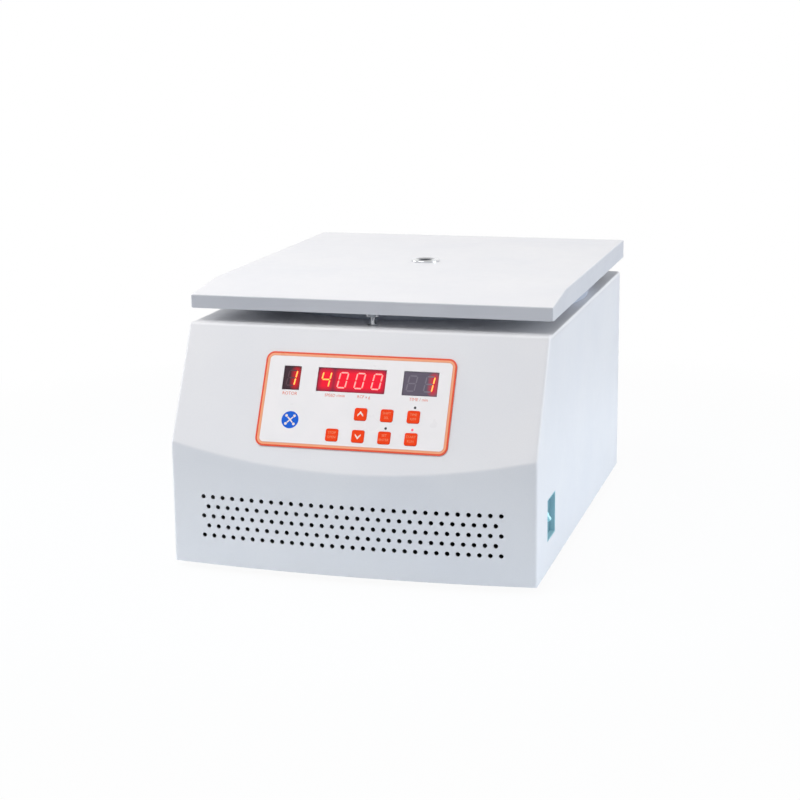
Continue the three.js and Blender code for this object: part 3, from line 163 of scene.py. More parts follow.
# %% Wrap a socket
class Signal:
    """An output socket that can be added to, multiplied and compared."""

    def __init__(self, graph, socket):
        self.graph, self.socket = graph, socket

    def math(self, operation, *others, clamp=False):
        values = dict(enumerate((self, *others)))
        return self.graph.node("ShaderNodeMath", values, operation=operation, use_clamp=clamp)

    def __rsub__(self, other):
        return self.graph.node("ShaderNodeMath", {0: other, 1: self}, operation="SUBTRACT")

    def step(self, low, high):
        """0 up to low, 1 from high, a straight ramp between."""
        return ((self - low) / (high - low)).math("ADD", 0, clamp=True)


METHODS = {
    "__add__": "ADD", "__radd__": "ADD", "__sub__": "SUBTRACT", "__mul__": "MULTIPLY",
    "__rmul__": "MULTIPLY", "__truediv__": "DIVIDE", "__pow__": "POWER", "__abs__": "ABSOLUTE",
    "above": "MAXIMUM", "below": "MINIMUM", "sine": "SINE", "root": "SQRT",
}
for method, operation in METHODS.items():
    setattr(Signal, method, partialmethod(Signal.math, operation))
print("methods of a signal:", *METHODS)


# %% Add nodes to a tree
class Graph:
    """A node tree with one method for adding a node."""

    def __init__(self, tree):
        self.tree = tree

    def node(self, kind, values=None, output=0, **settings):
        self.last = self.tree.nodes.new(kind)
        for name, value in settings.items():
            setattr(self.last, name, value)
        for name, value in (values or {}).items():
            self.feed(self.last.inputs[name], value)
        return Signal(self, self.last.outputs[output]) if self.last.outputs else None

    def feed(self, socket, value):
        if isinstance(value, Signal):
            self.tree.links.new(value.socket, socket)
        else:
            socket.default_value = value


# %% Define a finish
def rgb(*levels):
    """A colour given in 0 to 255, as the shader's linear numbers."""
    return (*[((v / 255 + 0.055) / 1.055) ** 2.4 if v > 10 else v / 3294.6 for v in levels], 1.0)


class Finish(Graph):
    """A material on the Principled shader, with helpers for patterns on object coordinates."""

    def __init__(self, name, colour, roughness, **fixed):
        self.material = bpy.data.materials.new(name)
        self.material.use_nodes = True
        super().__init__(self.material.node_tree)
        self.shader = self.tree.nodes["Principled BSDF"]
        self.set(Base_Color=colour, Roughness=roughness, **fixed)
        print("finish", name)

    def set(self, **values):
        for name, value in values.items():
            self.feed(self.shader.inputs[name.replace("_", " ")], value)
        return self

    def place(self):
        return self.node("ShaderNodeTexCoord", output="Object")

    def axes(self):
        """The three object coordinates, in millimetres."""
        values = {0: self.place(), "Scale": 1 / MM}
        scaled = self.node("ShaderNodeVectorMath", values, operation="SCALE")
        self.node("ShaderNodeSeparateXYZ", {0: scaled})
        return [Signal(self, socket) for socket in self.last.outputs]

    def noise(self, scale, detail=2, vector=None):
        values = {"Vector": vector or self.place(), "Scale": scale, "Detail": detail}
        return self.node("ShaderNodeTexNoise", values)

    def between(self, factor, first, second):
        """A colour on the way from first to second."""
        return self.node("ShaderNodeMix", {0: factor, 6: first, 7: second}, 2, data_type="RGBA")

    def relief(self, height, depth, strength):
        """Raise the surface by a height signal, in millimetres for a height of one."""
        values = {"Height": height, "Distance": depth * MM, "Strength": strength}
        return self.set(Normal=self.node("ShaderNodeBump", values))

    def uneven(self, scale, low, high):
        """Let the gloss wander between two roughness values."""
        return self.set(Roughness=low + (high - low) * self.noise(scale, 3).step(0.3, 0.7))


# %% [markdown]
# ## Powder coat
#
# The case and the lid are sheet steel under a fine-textured, near-white powder coat. Up close
# it is a skin of tiny round grains with a slight waviness, and it never shines like enamel. A
# Voronoi pattern gives the grains, a slow noise the waviness, and the colour drifts a little.
# The lid has a coat of its own, with painted shade that greys its front rim, and its other edges a
# little.

# %% Mix the powder coat
# The third colour is painted shade, a grey for the lid's turned-down rims.
POWDER, POWDER_SHADE, RIM_SHADE = rgb(237, 237, 240), rgb(231, 232, 237), rgb(203, 205, 212)


def powder_coat(name, pan=None):
    """Pan is the box of a pan whose outer rims get painted shade."""
    coat = Finish(name, POWDER, 0.42, Specular_IOR_Level=0.45)
    cloud = coat.noise(9).step(0.35, 0.7)
    speck = coat.noise(1100, 1).step(0.35, 0.65)
    tone = coat.between(cloud * 0.6 + speck * 0.4, POWDER, POWDER_SHADE)
    if pan:
        (low, high), (x, y, _) = pan, coat.axes()
        skin, clear = 0.3, 1.2
        front = 1 - y.step(low.y + skin, low.y + clear)
        sides = abs(x).step(high.x - clear, high.x - skin)
        back = y.step(high.y - clear, high.y - skin)
        rim = front.above(sides.above(back) * 0.6)
        # Painted shade: the front rim takes the grey fully, the sides and back at 0.6.
        tone = coat.between(rim * (0.85 + 0.15 * cloud), tone, RIM_SHADE)
    grain = coat.node("ShaderNodeTexVoronoi", {"Vector": coat.place(), "Scale": 900})
    coat.relief(grain * 0.6 + coat.noise(260, 3) * 0.8, 0.07, 0.4)
    return coat.set(Base_Color=tone).uneven(60, 0.36, 0.5).material


paint = powder_coat("powder_coat")
lid_paint = powder_coat("lid_powder_coat", box("lid_shell"))

# %% [markdown]
# ## Bare metals
#
# Spun stainless steel carries fine circles from the lathe, rolled sheet carries straight lines,
# and cast or turned aluminium is duller and greyer. The circles are noise read on the distance
# from the chamber's axis; the lines are the same noise stretched along one direction.

# %% Mix the metals
STEEL = rgb(196, 198, 202)


def lined_metal(name, colour, roughness, pattern):
    """A metal with fine lines in its gloss and its surface."""
    metal = Finish(name, colour, roughness, Metallic=1)
    lines = pattern(metal)
    metal.set(Roughness=roughness - 0.08 + 0.16 * lines)
    return metal.relief(lines, 0.02, 0.3).material


def circles(metal):
    x, y, z = metal.axes()
    radius = (x * x + (y - CHAMBER.y) ** 2).root()
    return metal.noise(1.4, 2, metal.node("ShaderNodeCombineXYZ", {0: radius, 1: z}))


def streaks(*scale):
    def pattern(metal):
        stretched = metal.node("ShaderNodeMapping", {"Vector": metal.place(), "Scale": scale})
        return metal.noise(60, 3, stretched)

    return pattern


bowl_steel = lined_metal("spun_stainless", STEEL, 0.3, circles)
sheet_steel = lined_metal("rolled_stainless", STEEL, 0.34, streaks(1, 30, 30))
zinc = lined_metal("zinc_plate", rgb(178, 181, 184), 0.4, streaks(8, 8, 8))
chrome = Finish("chrome_plate", rgb(224, 226, 229), 0.09, Metallic=1).uneven(300, 0.06, 0.13).material
cast = Finish("anodised_aluminium", rgb(201, 203, 207), 0.36, Metallic=1).uneven(120, 0.3, 0.42)
aluminium = cast.relief(cast.noise(900, 4), 0.03, 0.25).material

# %% [markdown]
# ## Rubber and moulded plastic
#
# Rubber is dark and matt with a dusty bloom, silicone is softer and greyer, and moulded plastic
# carries the fine spark texture of its mould. One helper covers them, with the colour, the gloss
# and the grain size as its only differences. The mains switch is a pale plastic that lines its
# pocket; the breaker that closes the back of it is the same plastic painted darker, as painted
# shade, and its lever has a faint emission, which is painted light.


# %% Mix the rubbers and plastics
def moulded_skin(name, colour, roughness, grain=900, depth=0.03, **fixed):
    skin = Finish(name, colour, roughness, **fixed).uneven(90, roughness - 0.05, roughness + 0.07)
    return skin.relief(skin.noise(grain, 3), depth, 0.3)


def moulded(*values, **fixed):
    return moulded_skin(*values, **fixed).material


def breaker_skin():
    # The part deeper than 5.9 mm in the pocket takes the darker colour, as painted shade of the recess.
    pale, dark = rgb(178, 220, 230), rgb(106, 151, 165)
    skin = moulded_skin("breaker_plastic", pale, 0.5)
    lined, soft = 5.9, 0.3
    lining = skin.axes()[0].step(HALF - lined, HALF - lined + soft)
    return skin.set(Base_Color=skin.between(lining, dark, pale)).material


rubber = moulded("black_rubber", rgb(38, 38, 40), 0.75, 500, 0.06)
gasket_rubber = moulded("gasket_rubber", rgb(64, 68, 84), 0.6, 500, 0.03)
silicone = moulded("grey_silicone", rgb(176, 184, 200), 0.5, 300, 0.05)
nylon = moulded("natural_nylon", rgb(232, 228, 216), 0.5, 700, 0.04)
black_plastic = moulded("black_plastic", rgb(28, 29, 31), 0.45)
breaker_plastic = breaker_skin()
# The lever is no lamp: this faint emission is painted light that brightens it in the pocket.
LEVER_PAINTED_GLOW = {"Emission_Color": rgb(130, 205, 220), "Emission_Strength": 0.2}
lever_plastic = moulded("lever_plastic", rgb(200, 246, 252), 0.35, **LEVER_PAINTED_GLOW)
key_plastic = moulded("key_orange", rgb(254, 66, 4), 0.45, 1200, 0.01, Specular_IOR_Level=0.15)
motor_enamel = moulded("motor_enamel", rgb(62, 66, 72), 0.45, 200, 0.05, Coat_Weight=0.2)
clear = Finish("clear_polycarbonate", rgb(226, 234, 236), 0.05, Alpha=0.35, Coat_Weight=0.5)
glass = clear.uneven(40, 0.03, 0.08).material

# %% [markdown]
# ## Circuit board
#
# The board behind the keys is only seen through a gap, if at all, but it still gets its green
# solder mask with faint copper tracks: two square waves on the board's own axes.


# %% Mix the circuit board
def circuit_board():
    green = rgb(28, 92, 60)
    mask = Finish("solder_mask", green, 0.35)
    x, _, z = mask.axes()
    pitch_x, pitch_z = 4, 5
    across = (x * (2 * pi / pitch_x)).sine().step(0.75, 0.85)
    along = (z * (2 * pi / pitch_z)).sine().step(0.8, 0.9)
    tracks = across.above(along)
    mask.set(Base_Color=mask.between(tracks * 0.6, green, rgb(52, 132, 84)))
    return mask.relief(tracks, 0.03, 0.5).material


board_green = circuit_board()

# %% [markdown]
# ## The printed control film
#
# The film is off-white polyester with a rounded orange-red border: a strong outer line and a
# paler band inside it. A rounded rectangle is easiest to draw by its signed distance, the
# length outside the rectangle less the corner radius, because one number then gives every line
# that runs parallel to the edge, at any width.


# %% Print the film
def face_axes(finish):
    """Distances across and up the control face, from the film's middle."""
    x, y, z = finish.axes()
    rise = (y - face_origin.y) * sin(LEAN) + (z - face_origin.z) * cos(LEAN)
    return x - face_origin.x, rise


def rounded_distance(across, rise, width, height, radius):
    """How far a point lies outside a rounded rectangle; negative inside."""
    dx = abs(across) - (width / 2 - radius)
    dy = abs(rise) - (height / 2 - radius)
    outside = (dx.above(0) ** 2 + dy.above(0) ** 2).root()
    return outside + dx.above(dy).below(0) - radius


def printed_film():
    """Each border starts inside one distance from the edge and is full at the other."""
    film = Finish("control_film", rgb(245, 243, 246), 0.3, Coat_Weight=0.1)
    depth = rounded_distance(*face_axes(film), FILM["width"], FILM["height"], FILM["corner"])
    tone = film.between(film.noise(40).step(0.3, 0.7), rgb(249, 246, 248), rgb(246, 244, 246))
    rim, band, line = rgb(236, 158, 118), rgb(255, 170, 126), rgb(236, 74, 30)
    for start, full, colour in ((-5.3, -4.7, rim), (-4.2, -3.8, band), (-2.3, -1.9, line)):
        tone = film.between(depth.step(start, full), tone, colour)
    film.relief(film.noise(800), 0.01, 0.3)
    return film.set(Base_Color=tone).uneven(30, 0.26, 0.36).material


film_print = printed_film()

# %% [markdown]
# ## Lit displays
#
# Each display is a block of smoked plastic with its digits behind it. A lit digit throws red
# light into the plastic round it, so the face glows there and stays grey where nothing is lit.
# The glow is the same rounded distance, measured from the box round each lit digit.

# %% Tint the display faces
DIGIT = {"pitch": 20.1, "wide": 9.4, "tall": 17.8, "stroke": 1.55}
pitch = DIGIT["pitch"]


def smoked_face(node, ground, glow, lit):
    """A display's plastic; lit lists its lit stretches: place across, width."""
    face = Finish(node + "_face", ground, 0.3, Specular_IOR_Level=0.15, Emission_Strength=0.9)
    centre = on_face(node)
    across, rise = face_axes(face)
    light = None
    for place, width in lit:
        here = across - (centre.x + place)
        soft = 1 - rounded_distance(here, rise - centre.y, width, DIGIT["tall"], 2).step(-1, 6.5)
        light = soft if light is None else light.above(soft)
    light = light * (0.75 + 0.25 * face.noise(120))
    face.set(Base_Color=face.between(light, ground, rgb(150, 10, 30)))
    return face.set(Emission_Color=face.between(light, (0, 0, 0, 1), glow)).material


rotor_face = smoked_face("rotor_display", rgb(66, 44, 54), rgb(216, 6, 14), [(5, 2)])
four_and_zeros = [(-1.5 * pitch, DIGIT["wide"]), (0.5 * pitch, 2.6 * pitch)]
speed_face = smoked_face("speed_display", rgb(124, 40, 66), rgb(238, 6, 40), four_and_zeros)
time_face = smoked_face("time_display", rgb(104, 96, 112), rgb(205, 6, 18), [(0.5 * pitch + 5, 2)])


# %% Mix the lamps and the inks
def lamp(name, colour, strength):
    glow = Finish(name, colour, 0.4, Emission_Color=colour, Emission_Strength=strength)
    speck = glow.noise(600, 1).step(0.3, 0.7)
    return glow.set(Base_Color=glow.between(speck, colour, rgb(255, 120, 90))).material


lit_amber = lamp("lit_amber", rgb(255, 176, 66), 1.0)
lit_pale = lamp("lit_pale", rgb(250, 150, 150), 0.8)
lit_dot = lamp("lit_dot", rgb(200, 10, 96), 0.7)
unlit = moulded("unlit_segment", rgb(128, 120, 134), 0.4, Specular_IOR_Level=0.2)
unlit_dark = moulded("unlit_dark_segment", rgb(92, 62, 72), 0.4, Specular_IOR_Level=0.2)
ink_black = moulded("ink_black", rgb(34, 32, 36), 0.5)
ink_orange = moulded("ink_orange", rgb(232, 96, 48), 0.5)
ink_coral = moulded("ink_coral", rgb(255, 150, 104), 0.5)
ink_white = moulded("ink_white", rgb(252, 236, 226), 0.5)
ink_blue = moulded("ink_blue", rgb(0, 98, 220), 0.45, Specular_IOR_Level=0.2)

# %% [markdown]
# ## Finishes for the model's own nodes
#
# Many engineering nodes are right as they are, or hidden. They keep their mesh and take a
# material in their slots. Each line gives the starts of the names that share a finish, and
# where two lines fit a name, the later one counts.

# %% Hand out the finishes
FINISHES = {
    paint: ("left_side_", "right_side_", "top_deck", "rear_panel", "front_panel", "lid_shell"),
    bowl_steel: ("chamber_bowl", "bowl_floor"),
    sheet_steel: ("lid_liner", "sight_retainer"),
    zinc: ("base_", "guard_", "motor_", "lock_", "solenoid_", "drive_", "hinge_", "lid_hinge_"),
    aluminium: ("rotor_head", "bucket_"),
    chrome: ("rotor_nut", "sight_bezel", "lock_pin"),
    rubber: ("foot_", "damper_", "shaft_boot"),
    silicone: ("chamber_seal",),
    film_print: ("control_overlay",),
    key_plastic: ("key_",),
    board_green: ("control_board",),
    breaker_plastic: ("breaker_body",),
    lever_plastic: ("breaker_lever",),
    black_plastic: ("power_inlet", "lock_solenoid"),
    nylon: ("bucket_insert_",),
    glass: ("sight_window",),
    motor_enamel: ("motor_housing",),
    rotor_face: ("rotor_display",),
    speed_face: ("speed_display",),
    time_face: ("time_display",),
}
for material, starts in FINISHES.items():
    for name, node in frame["nodes"].items():
        if name.startswith(starts):
            node.data.materials.clear()
            node.data.materials.append(material)
dressed = {name for starts in FINISHES.values() for name in frame["nodes"] if name.startswith(starts)}
print("nodes without a finish:", sorted(set(frame["nodes"]) - dressed))

BODY_OF = {n: b for b, ns in frame["record"]["behaviour"]["bodies"].items() for n in ns}
SLOT_OF = {part["node"]: part["material_slot"] for part in frame["record"]["subparts"]}

# %% [markdown]
# ## Small mesh tools
#
# Most pieces are a profile turned about an axis, flat outlines raised into plates, or a tidy
# copy of an engineering node with softened edges. Each helper returns a plain mesh object with
# its place in its vertices, as the export wants it.


# %% Stand a mesh and tie it to its body
def stand(mesh, name, material=None):
    """A new object at the origin for a mesh."""
    piece = bpy.data.objects.new(name, mesh)
    scene.collection.objects.link(piece)
    if material:
        mesh.materials.clear()
        mesh.materials.append(material)
    return piece


def smooth(mesh, angle=32):
    """Smooth shading, with a hard line where faces meet more sharply than the angle."""
    mesh.shade_smooth()
    mesh.set_sharp_from_angle(angle=radians(angle))


def settle(piece):
    """Apply an object's modifiers."""
    bpy.context.view_layer.update()
    seen = piece.evaluated_get(bpy.context.evaluated_depsgraph_get())
    mesh = bpy.data.meshes.new_from_object(seen)
    piece.modifiers.clear()
    old, piece.data = piece.data, mesh
    bpy.data.meshes.remove(old)


def belong(piece, *nodes, body=None, slot=None):
    """Tie a piece to its body, and let it stand for the nodes it replaces. The slot is not used.

    Weighing each corner's normal by the faces round it first makes flat faces look flat.
    """
    tool = piece.modifiers.new("flat", "WEIGHTED_NORMAL")
    tool.keep_sharp = True
    settle(piece)
    if nodes:
        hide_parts(*nodes)
    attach(piece, body or BODY_OF[nodes[0]])
    print(piece.name, "faces", len(piece.data.polygons), "for", nodes)


def built(bm, name, material, angle=None):
    """A piece in metres from a shape drawn in millimetres."""
    mesh = bpy.data.meshes.new(name)
    bm.transform(Matrix.Scale(MM, 4))
    bm.to_mesh(mesh)
    bm.free()
    if angle:
        smooth(mesh, angle)
    return stand(mesh, name, material)


# %% Raise outlines and turn profiles
def bevel(bm, edges, offset, segments=3):
    bmesh.ops.bevel(bm, geom=edges, offset=offset, segments=segments, affect="EDGES", profile=0.5)


def raise_outline(bm, points, way):
    """A face on some points, extruded along a vector."""
    base = bm.faces.new([bm.verts.new(p) for p in points])
    made = bmesh.ops.extrude_face_region(bm, geom=[base])
    far = [v for v in made["geom"] if isinstance(v, bmesh.types.BMVert)]
    bmesh.ops.translate(bm, verts=far, vec=way)


def lathe(profile, centre, steps):
    """Turn a closed profile of (radius, height) about an upright axis."""
    bm = bmesh.new()
    ring = []
    for k in range(steps):
        a = 2 * pi * k / steps
        spots = [(centre.x + r * cos(a), centre.y + r * sin(a), centre.z + h) for r, h in profile]
        ring.append([bm.verts.new(p) for p in spots])
    for k in range(steps):
        one, two = ring[k], ring[(k + 1) % steps]
        for i in range(len(profile)):
            j = (i + 1) % len(profile)
            bm.faces.new((one[i], one[j], two[j], two[i]))
    bmesh.ops.remove_doubles(bm, verts=bm.verts, dist=1e-3)
    bmesh.ops.dissolve_degenerate(bm, dist=1e-3, edges=bm.edges)
    bmesh.ops.recalc_face_normals(bm, faces=bm.faces)
    return bm


def turned(name, profile, centre, material, steps=64):
    return built(lathe(profile, centre, steps), name, material, 32)


def arc(cx, cz, radius, start, end, steps=6):
    """Points on a circle, angles in degrees."""
    angles = [radians(start + (end - start) * k / steps) for k in range(steps + 1)]
    return [(cx + radius * cos(a), cz + radius * sin(a)) for a in angles]


def circle(radius, steps):
    """The outline of a circle about the origin."""
    return arc(0, 0, radius, 0, 360 - 360 / steps, steps - 1)


def rounded_box(width, height, radius, steps=6):
    """The outline of a rounded rectangle about the origin."""
    w, h = width / 2 - radius, height / 2 - radius
    corners = ((w, h, 0), (-w, h, 90), (-w, -h, 180), (w, -h, 270))
    return [p for x, y, a in corners for p in arc(x, y, radius, a, a + 90, steps)]


def plates(name, outlines, low, high, matrix, material, rounding=0):
    """Raise flat outlines into plates between two heights, all in one mesh."""
    bm = bmesh.new()
    for outline in outlines:
        raise_outline(bm, [(x, y, low) for x, y in outline], (0, 0, high - low))
    bmesh.ops.recalc_face_normals(bm, faces=bm.faces)
    if rounding:
        rims = [e for e in bm.edges if all(abs(v.co.z - high) < 1e-4 for v in e.verts)]
        bevel(bm, rims, rounding)
    bm.transform(matrix)
    return built(bm, name, material, 32)


# %% Soften a node and cut a piece
def softened(node, rounding, segments=2):
    """A merged copy of an engineering node with its edges rounded, standing for that node."""
    mesh = frame["nodes"][node].data.copy()
    bm = bmesh.new()
    bm.from_mesh(mesh)
    bmesh.ops.remove_doubles(bm, verts=bm.verts, dist=2e-6)
    bmesh.ops.dissolve_limit(bm, angle_limit=radians(1), verts=bm.verts, edges=bm.edges)
    bm.to_mesh(mesh)
    bm.free()
    piece = stand(mesh, node + "_finished")
    tool = piece.modifiers.new("edges", "BEVEL")
    tool.width, tool.segments = rounding * MM, segments
    tool.limit_method, tool.angle_limit = "ANGLE", radians(30)
    tool.use_clamp_overlap = True
    settle(piece)
    smooth(piece.data)
    belong(piece, node)


def cut(piece, tool):
    """Take one closed object out of another."""
    knife = piece.modifiers.new("cut", "BOOLEAN")
    knife.operation, knife.solver, knife.object = "DIFFERENCE", "EXACT", tool
    settle(piece)
    bpy.data.objects.remove(tool)


# %% [markdown]
# ## A punch for rows of holes
#
# The grille is 148 round holes in five rows, and the back has two stacks of louvre slots. On
# the real sheet a punch press makes them, so here a Geometry Nodes tree does the same: a grid
# of points, one tool on each, and a boolean that takes them out of the sheet. The helpers also
# serve the screws, further down.


# %% Define helpers for geometry trees
def tree_of(name, sockets):
    """A geometry tree with the given inputs and one shape as its result."""
    tree = bpy.data.node_groups.new(name, "GeometryNodeTree")
    for label, kind in sockets.items():
        tree.interface.new_socket(label, in_out="INPUT", socket_type="NodeSocket" + kind)
    tree.interface.new_socket("Result", in_out="OUTPUT", socket_type="NodeSocketGeometry")
    graph = Graph(tree)
    graph.node("NodeGroupInput")
    return graph, {label: Signal(graph, graph.last.outputs[label]) for label in sockets}


def spread(graph, points, tool, **turn):
    """A tool on every point."""
    shape = graph.node("GeometryNodeObjectInfo", {"Object": tool}, "Geometry")
    places = {"Points": points, "Instance": shape, **turn}
    return graph.node("GeometryNodeInstanceOnPoints", places)


def one_mesh(graph, shape):
    return graph.node("GeometryNodeRealizeInstances", {"Geometry": shape})


def leave(graph, shape, material):
    """End a tree with one mesh in its finish."""
    values = {"Geometry": one_mesh(graph, shape), "Material": material}
    graph.node("NodeGroupOutput", {0: graph.node("GeometryNodeSetMaterial", values)})


def run_tree(piece, graph, values):
    """Put a tree on a piece once and apply it."""
    modifier = piece.modifiers.new("tree", "NODES")
    modifier.node_group = graph.tree
    for item in graph.tree.interface.items_tree:
        if item.name in values:
            modifier[item.identifier] = values[item.name]
    settle(piece)


# %% Build the punch tree
COUNTS = {"Vertices X": "Int", "Vertices Y": "Int", "Size X": "Float", "Size Y": "Float"}
PUNCH = {"Sheet": "Geometry", "Tool": "Object", "Middle": "Vector", "Finish": "Material"}
press, given = tree_of("punch", {**PUNCH, **COUNTS})
grid = press.node("GeometryNodeMeshGrid", {label: given[label] for label in COUNTS})
moved = {"Geometry": grid, "Translation": given["Middle"], "Rotation": (pi / 2, 0, 0)}
tools = spread(press, press.node("GeometryNodeTransform", moved), given["Tool"])
punched = {"Mesh 1": given["Sheet"], "Mesh 2": one_mesh(press, tools)}
holed = press.node("GeometryNodeMeshBoolean", punched, operation="DIFFERENCE", solver="EXACT")
leave(press, holed, given["Finish"])


def punch_rows(piece, tool, columns, rows, width, height, place):
    """Run the punch over a painted sheet once."""
    values = {"Tool": tool, "Middle": place * MM, "Finish": paint, "Vertices X": columns}
    values.update({"Vertices Y": rows, "Size X": width * MM, "Size Y": height * MM})
    run_tree(piece, press, values)
    print(piece.name, "punched", columns * rows, "holes, faces", len(piece.data.polygons))


# %% [markdown]
# ## The front sheet
#
# The front is one sheet that a press brake creased and a former bowed. Its lower face is bowed
# and its sloping face is flat, so the crease between them climbs towards the sides. A plain box
# can't follow that, so the mesh is a loft: the section drawn at many places, wrapped round both
# side corners, outside and inside, and sewn up at the rims.

# %% Loft the front sheet
COLUMNS, FOLDS, WRAP = 72, 8, 6


def front_section(x, inset):
    """Bottom edge, crease, rounded top fold and the strip that returns over the deck."""
    bow = BOW_RADIUS - BOW - sqrt(BOW_RADIUS**2 - x**2)
    crease = (CREASE_Z - CASE_Z) + bow / tan(LEAN) - inset * tan(LEAN / 2)
    y, soft = bow + inset, 2.2
    low = (y, crease - soft)
    mid = (y + soft * sin(LEAN) / 4, crease + soft * 0.1)
    high = (y + soft * sin(LEAN), crease + soft * cos(LEAN))
    deck_y, deck_z = DECK_Y - CASE_Y, DECK_Z - CASE_Z
    fold_y = deck_y + TOP_FOLD * tan((pi / 2 - LEAN) / 2)
    fold = arc(fold_y, deck_z - TOP_FOLD, TOP_FOLD - inset, 180 - degrees(LEAN), 90, FOLDS)
    end = (deck_y + DECK_RETURN, deck_z - inset)
    return [(y, 0), (y, crease * 0.5), low, mid, high, *fold, end]


def front_skin(inset):
    """The sections across the sheet, wrapped round both corners."""
    reach, radius = HALF - CORNER, CORNER - inset
    rows = []
    for k in range(WRAP, 0, -1):
        angle = pi / 2 * k / WRAP
        taken = inset + radius * (1 - cos(angle))
        rows.append((reach + radius * sin(angle), front_section(reach, taken)))
    left = [(-x, section) for x, section in rows]
    across = [reach * (2 * k / COLUMNS - 1) for k in range(COLUMNS + 1)]
    centre = [(x, front_section(x, inset)) for x in across]
    columns = left + centre + rows[::-1]
    return [[(x, y + CASE_Y, z + CASE_Z) for y, z in section] for x, section in columns]


def sew(name, outer, inner):
    """A closed sheet between two matching grids."""
    bm = bmesh.new()
    out = [[bm.verts.new(p) for p in row] for row in outer]
    ins = [[bm.verts.new(p) for p in row] for row in inner]
    for side, order in ((out, 1), (ins, -1)):
        for a, b in zip(side, side[1:]):
            for i in range(len(a) - 1):
                bm.faces.new((a[i], b[i], b[i + 1], a[i + 1])[::order])
    for i in (0, -1):
        for k in range(len(out) - 1):
            bm.faces.new((out[k][i], ins[k][i], ins[k + 1][i], out[k + 1][i]))
        for k in range(len(out[0]) - 1):
            bm.faces.new((out[i][k], out[i][k + 1], ins[i][k + 1], ins[i][k]))
    bmesh.ops.recalc_face_normals(bm, faces=bm.faces)
    return built(bm, name, paint)


front = sew("front_sheet", front_skin(0), front_skin(SHEET))
print("front sheet faces", len(front.data.polygons))

# %% Cut the windows and the film
KEY = {"side": 14.5, "corner": 2.2, "gap": 0.25, "proud": 0.7, "deep": 2.4, "soft": 0.45}
DISPLAYS = {"rotor_display": 1, "speed_display": 4, "time_display": 2}
KEYS = sorted(n for n in frame["nodes"] if n.startswith("key_"))
WINDOW = {"tall": 27.8, "play": 0.7, "corner": 0.6}
THROUGH = (-6, 4)


def shifted(outline, place):
    return [(x + place.x, y + place.y) for x, y in outline]


def openings():
    """Outlines of the seven key holes and three windows, on the control face."""
    hole = KEY["side"] + 2 * KEY["gap"]
    key_hole = rounded_box(hole, hole, KEY["corner"] + KEY["gap"])
    found = [shifted(key_hole, on_face(node)) for node in KEYS]
    for node, digits in DISPLAYS.items():
        wide, tall = digits * pitch + WINDOW["play"], WINDOW["tall"] + WINDOW["play"]
        found.append(shifted(rounded_box(wide, tall, WINDOW["corner"], 2), on_face(node)))
    return found


cut(front, plates("window_tools", openings(), *THROUGH, FACE, paint))
outline = rounded_box(FILM["width"], FILM["height"], FILM["corner"], 16)
film = plates("control_film", [outline], -FILM["thick"], 0, FACE, film_print, 0.15)
cut(film, plates("film_tools", openings(), *THROUGH, FACE, film_print))
smooth(film.data)
belong(film, "control_overlay")

# %% Punch the grille
HOLE = {"radius": 2.7, "pitch": 12.1, "row": 11.5, "first": 34.8}
TURN_UP = Matrix.Rotation(pi / 2, 4, "X")
hole_tool = plates("hole_tool", [circle(HOLE["radius"], 16)], -10, 10, TURN_UP, paint)
for columns, rows, lift in ((30, 3, 0), (29, 2, 1)):
    height = CASE_Z + HOLE["first"] + (lift + rows - 1) * HOLE["row"]
    size = ((columns - 1) * HOLE["pitch"], (rows - 1) * 2 * HOLE["row"])
    punch_rows(front, hole_tool, columns, rows, *size, Vector((0, CASE_Y - BOW / 2, height)))
bpy.data.objects.remove(hole_tool)
smooth(front.data, 25)
belong(front, "front_panel")

# %% [markdown]
# ## The lid
#
# The lid is a shallow pan with a front slope, folded down on all four sides with tight bends,
# so its edges catch a thin line of light. It starts as a solid prism whose edges are bevelled
# by the bend radius; then the underside is opened and the wall gets its thickness.

# %% Fold the lid
lid_low, lid_high = box("lid_shell")
LID = {"rim": 15, "run": 79, "bend": 1.6, "break": 7, "drop": 0.9, "round": 3, "port": 13.3}
TOUCH = 1e-3


def round_corners(bm):
    """Take the sharp lower corners off the front flange."""
    reach = LID["round"]
    for part in (0.55, 0.8, 1.1):
        x, y = lid_high.x - part * reach, lid_low.y + part * reach
        for place, way in (((-x, 0, 0), (1, 0, 0)), ((x, 0, 0), (1, 0, 0)), ((0, y, 0), (0, 1, 0))):
            pan = bm.verts[:] + bm.edges[:] + bm.faces[:]
            bmesh.ops.bisect_plane(bm, geom=pan, plane_co=place, plane_no=way)
    for v in bm.verts:
        near = max(lid_high.x - abs(v.co.x), v.co.y - lid_low.y, 0)
        if v.co.z < lid_low.z + TOUCH and near < reach:
            v.co.z += reach - sqrt(reach**2 - (reach - near) ** 2)


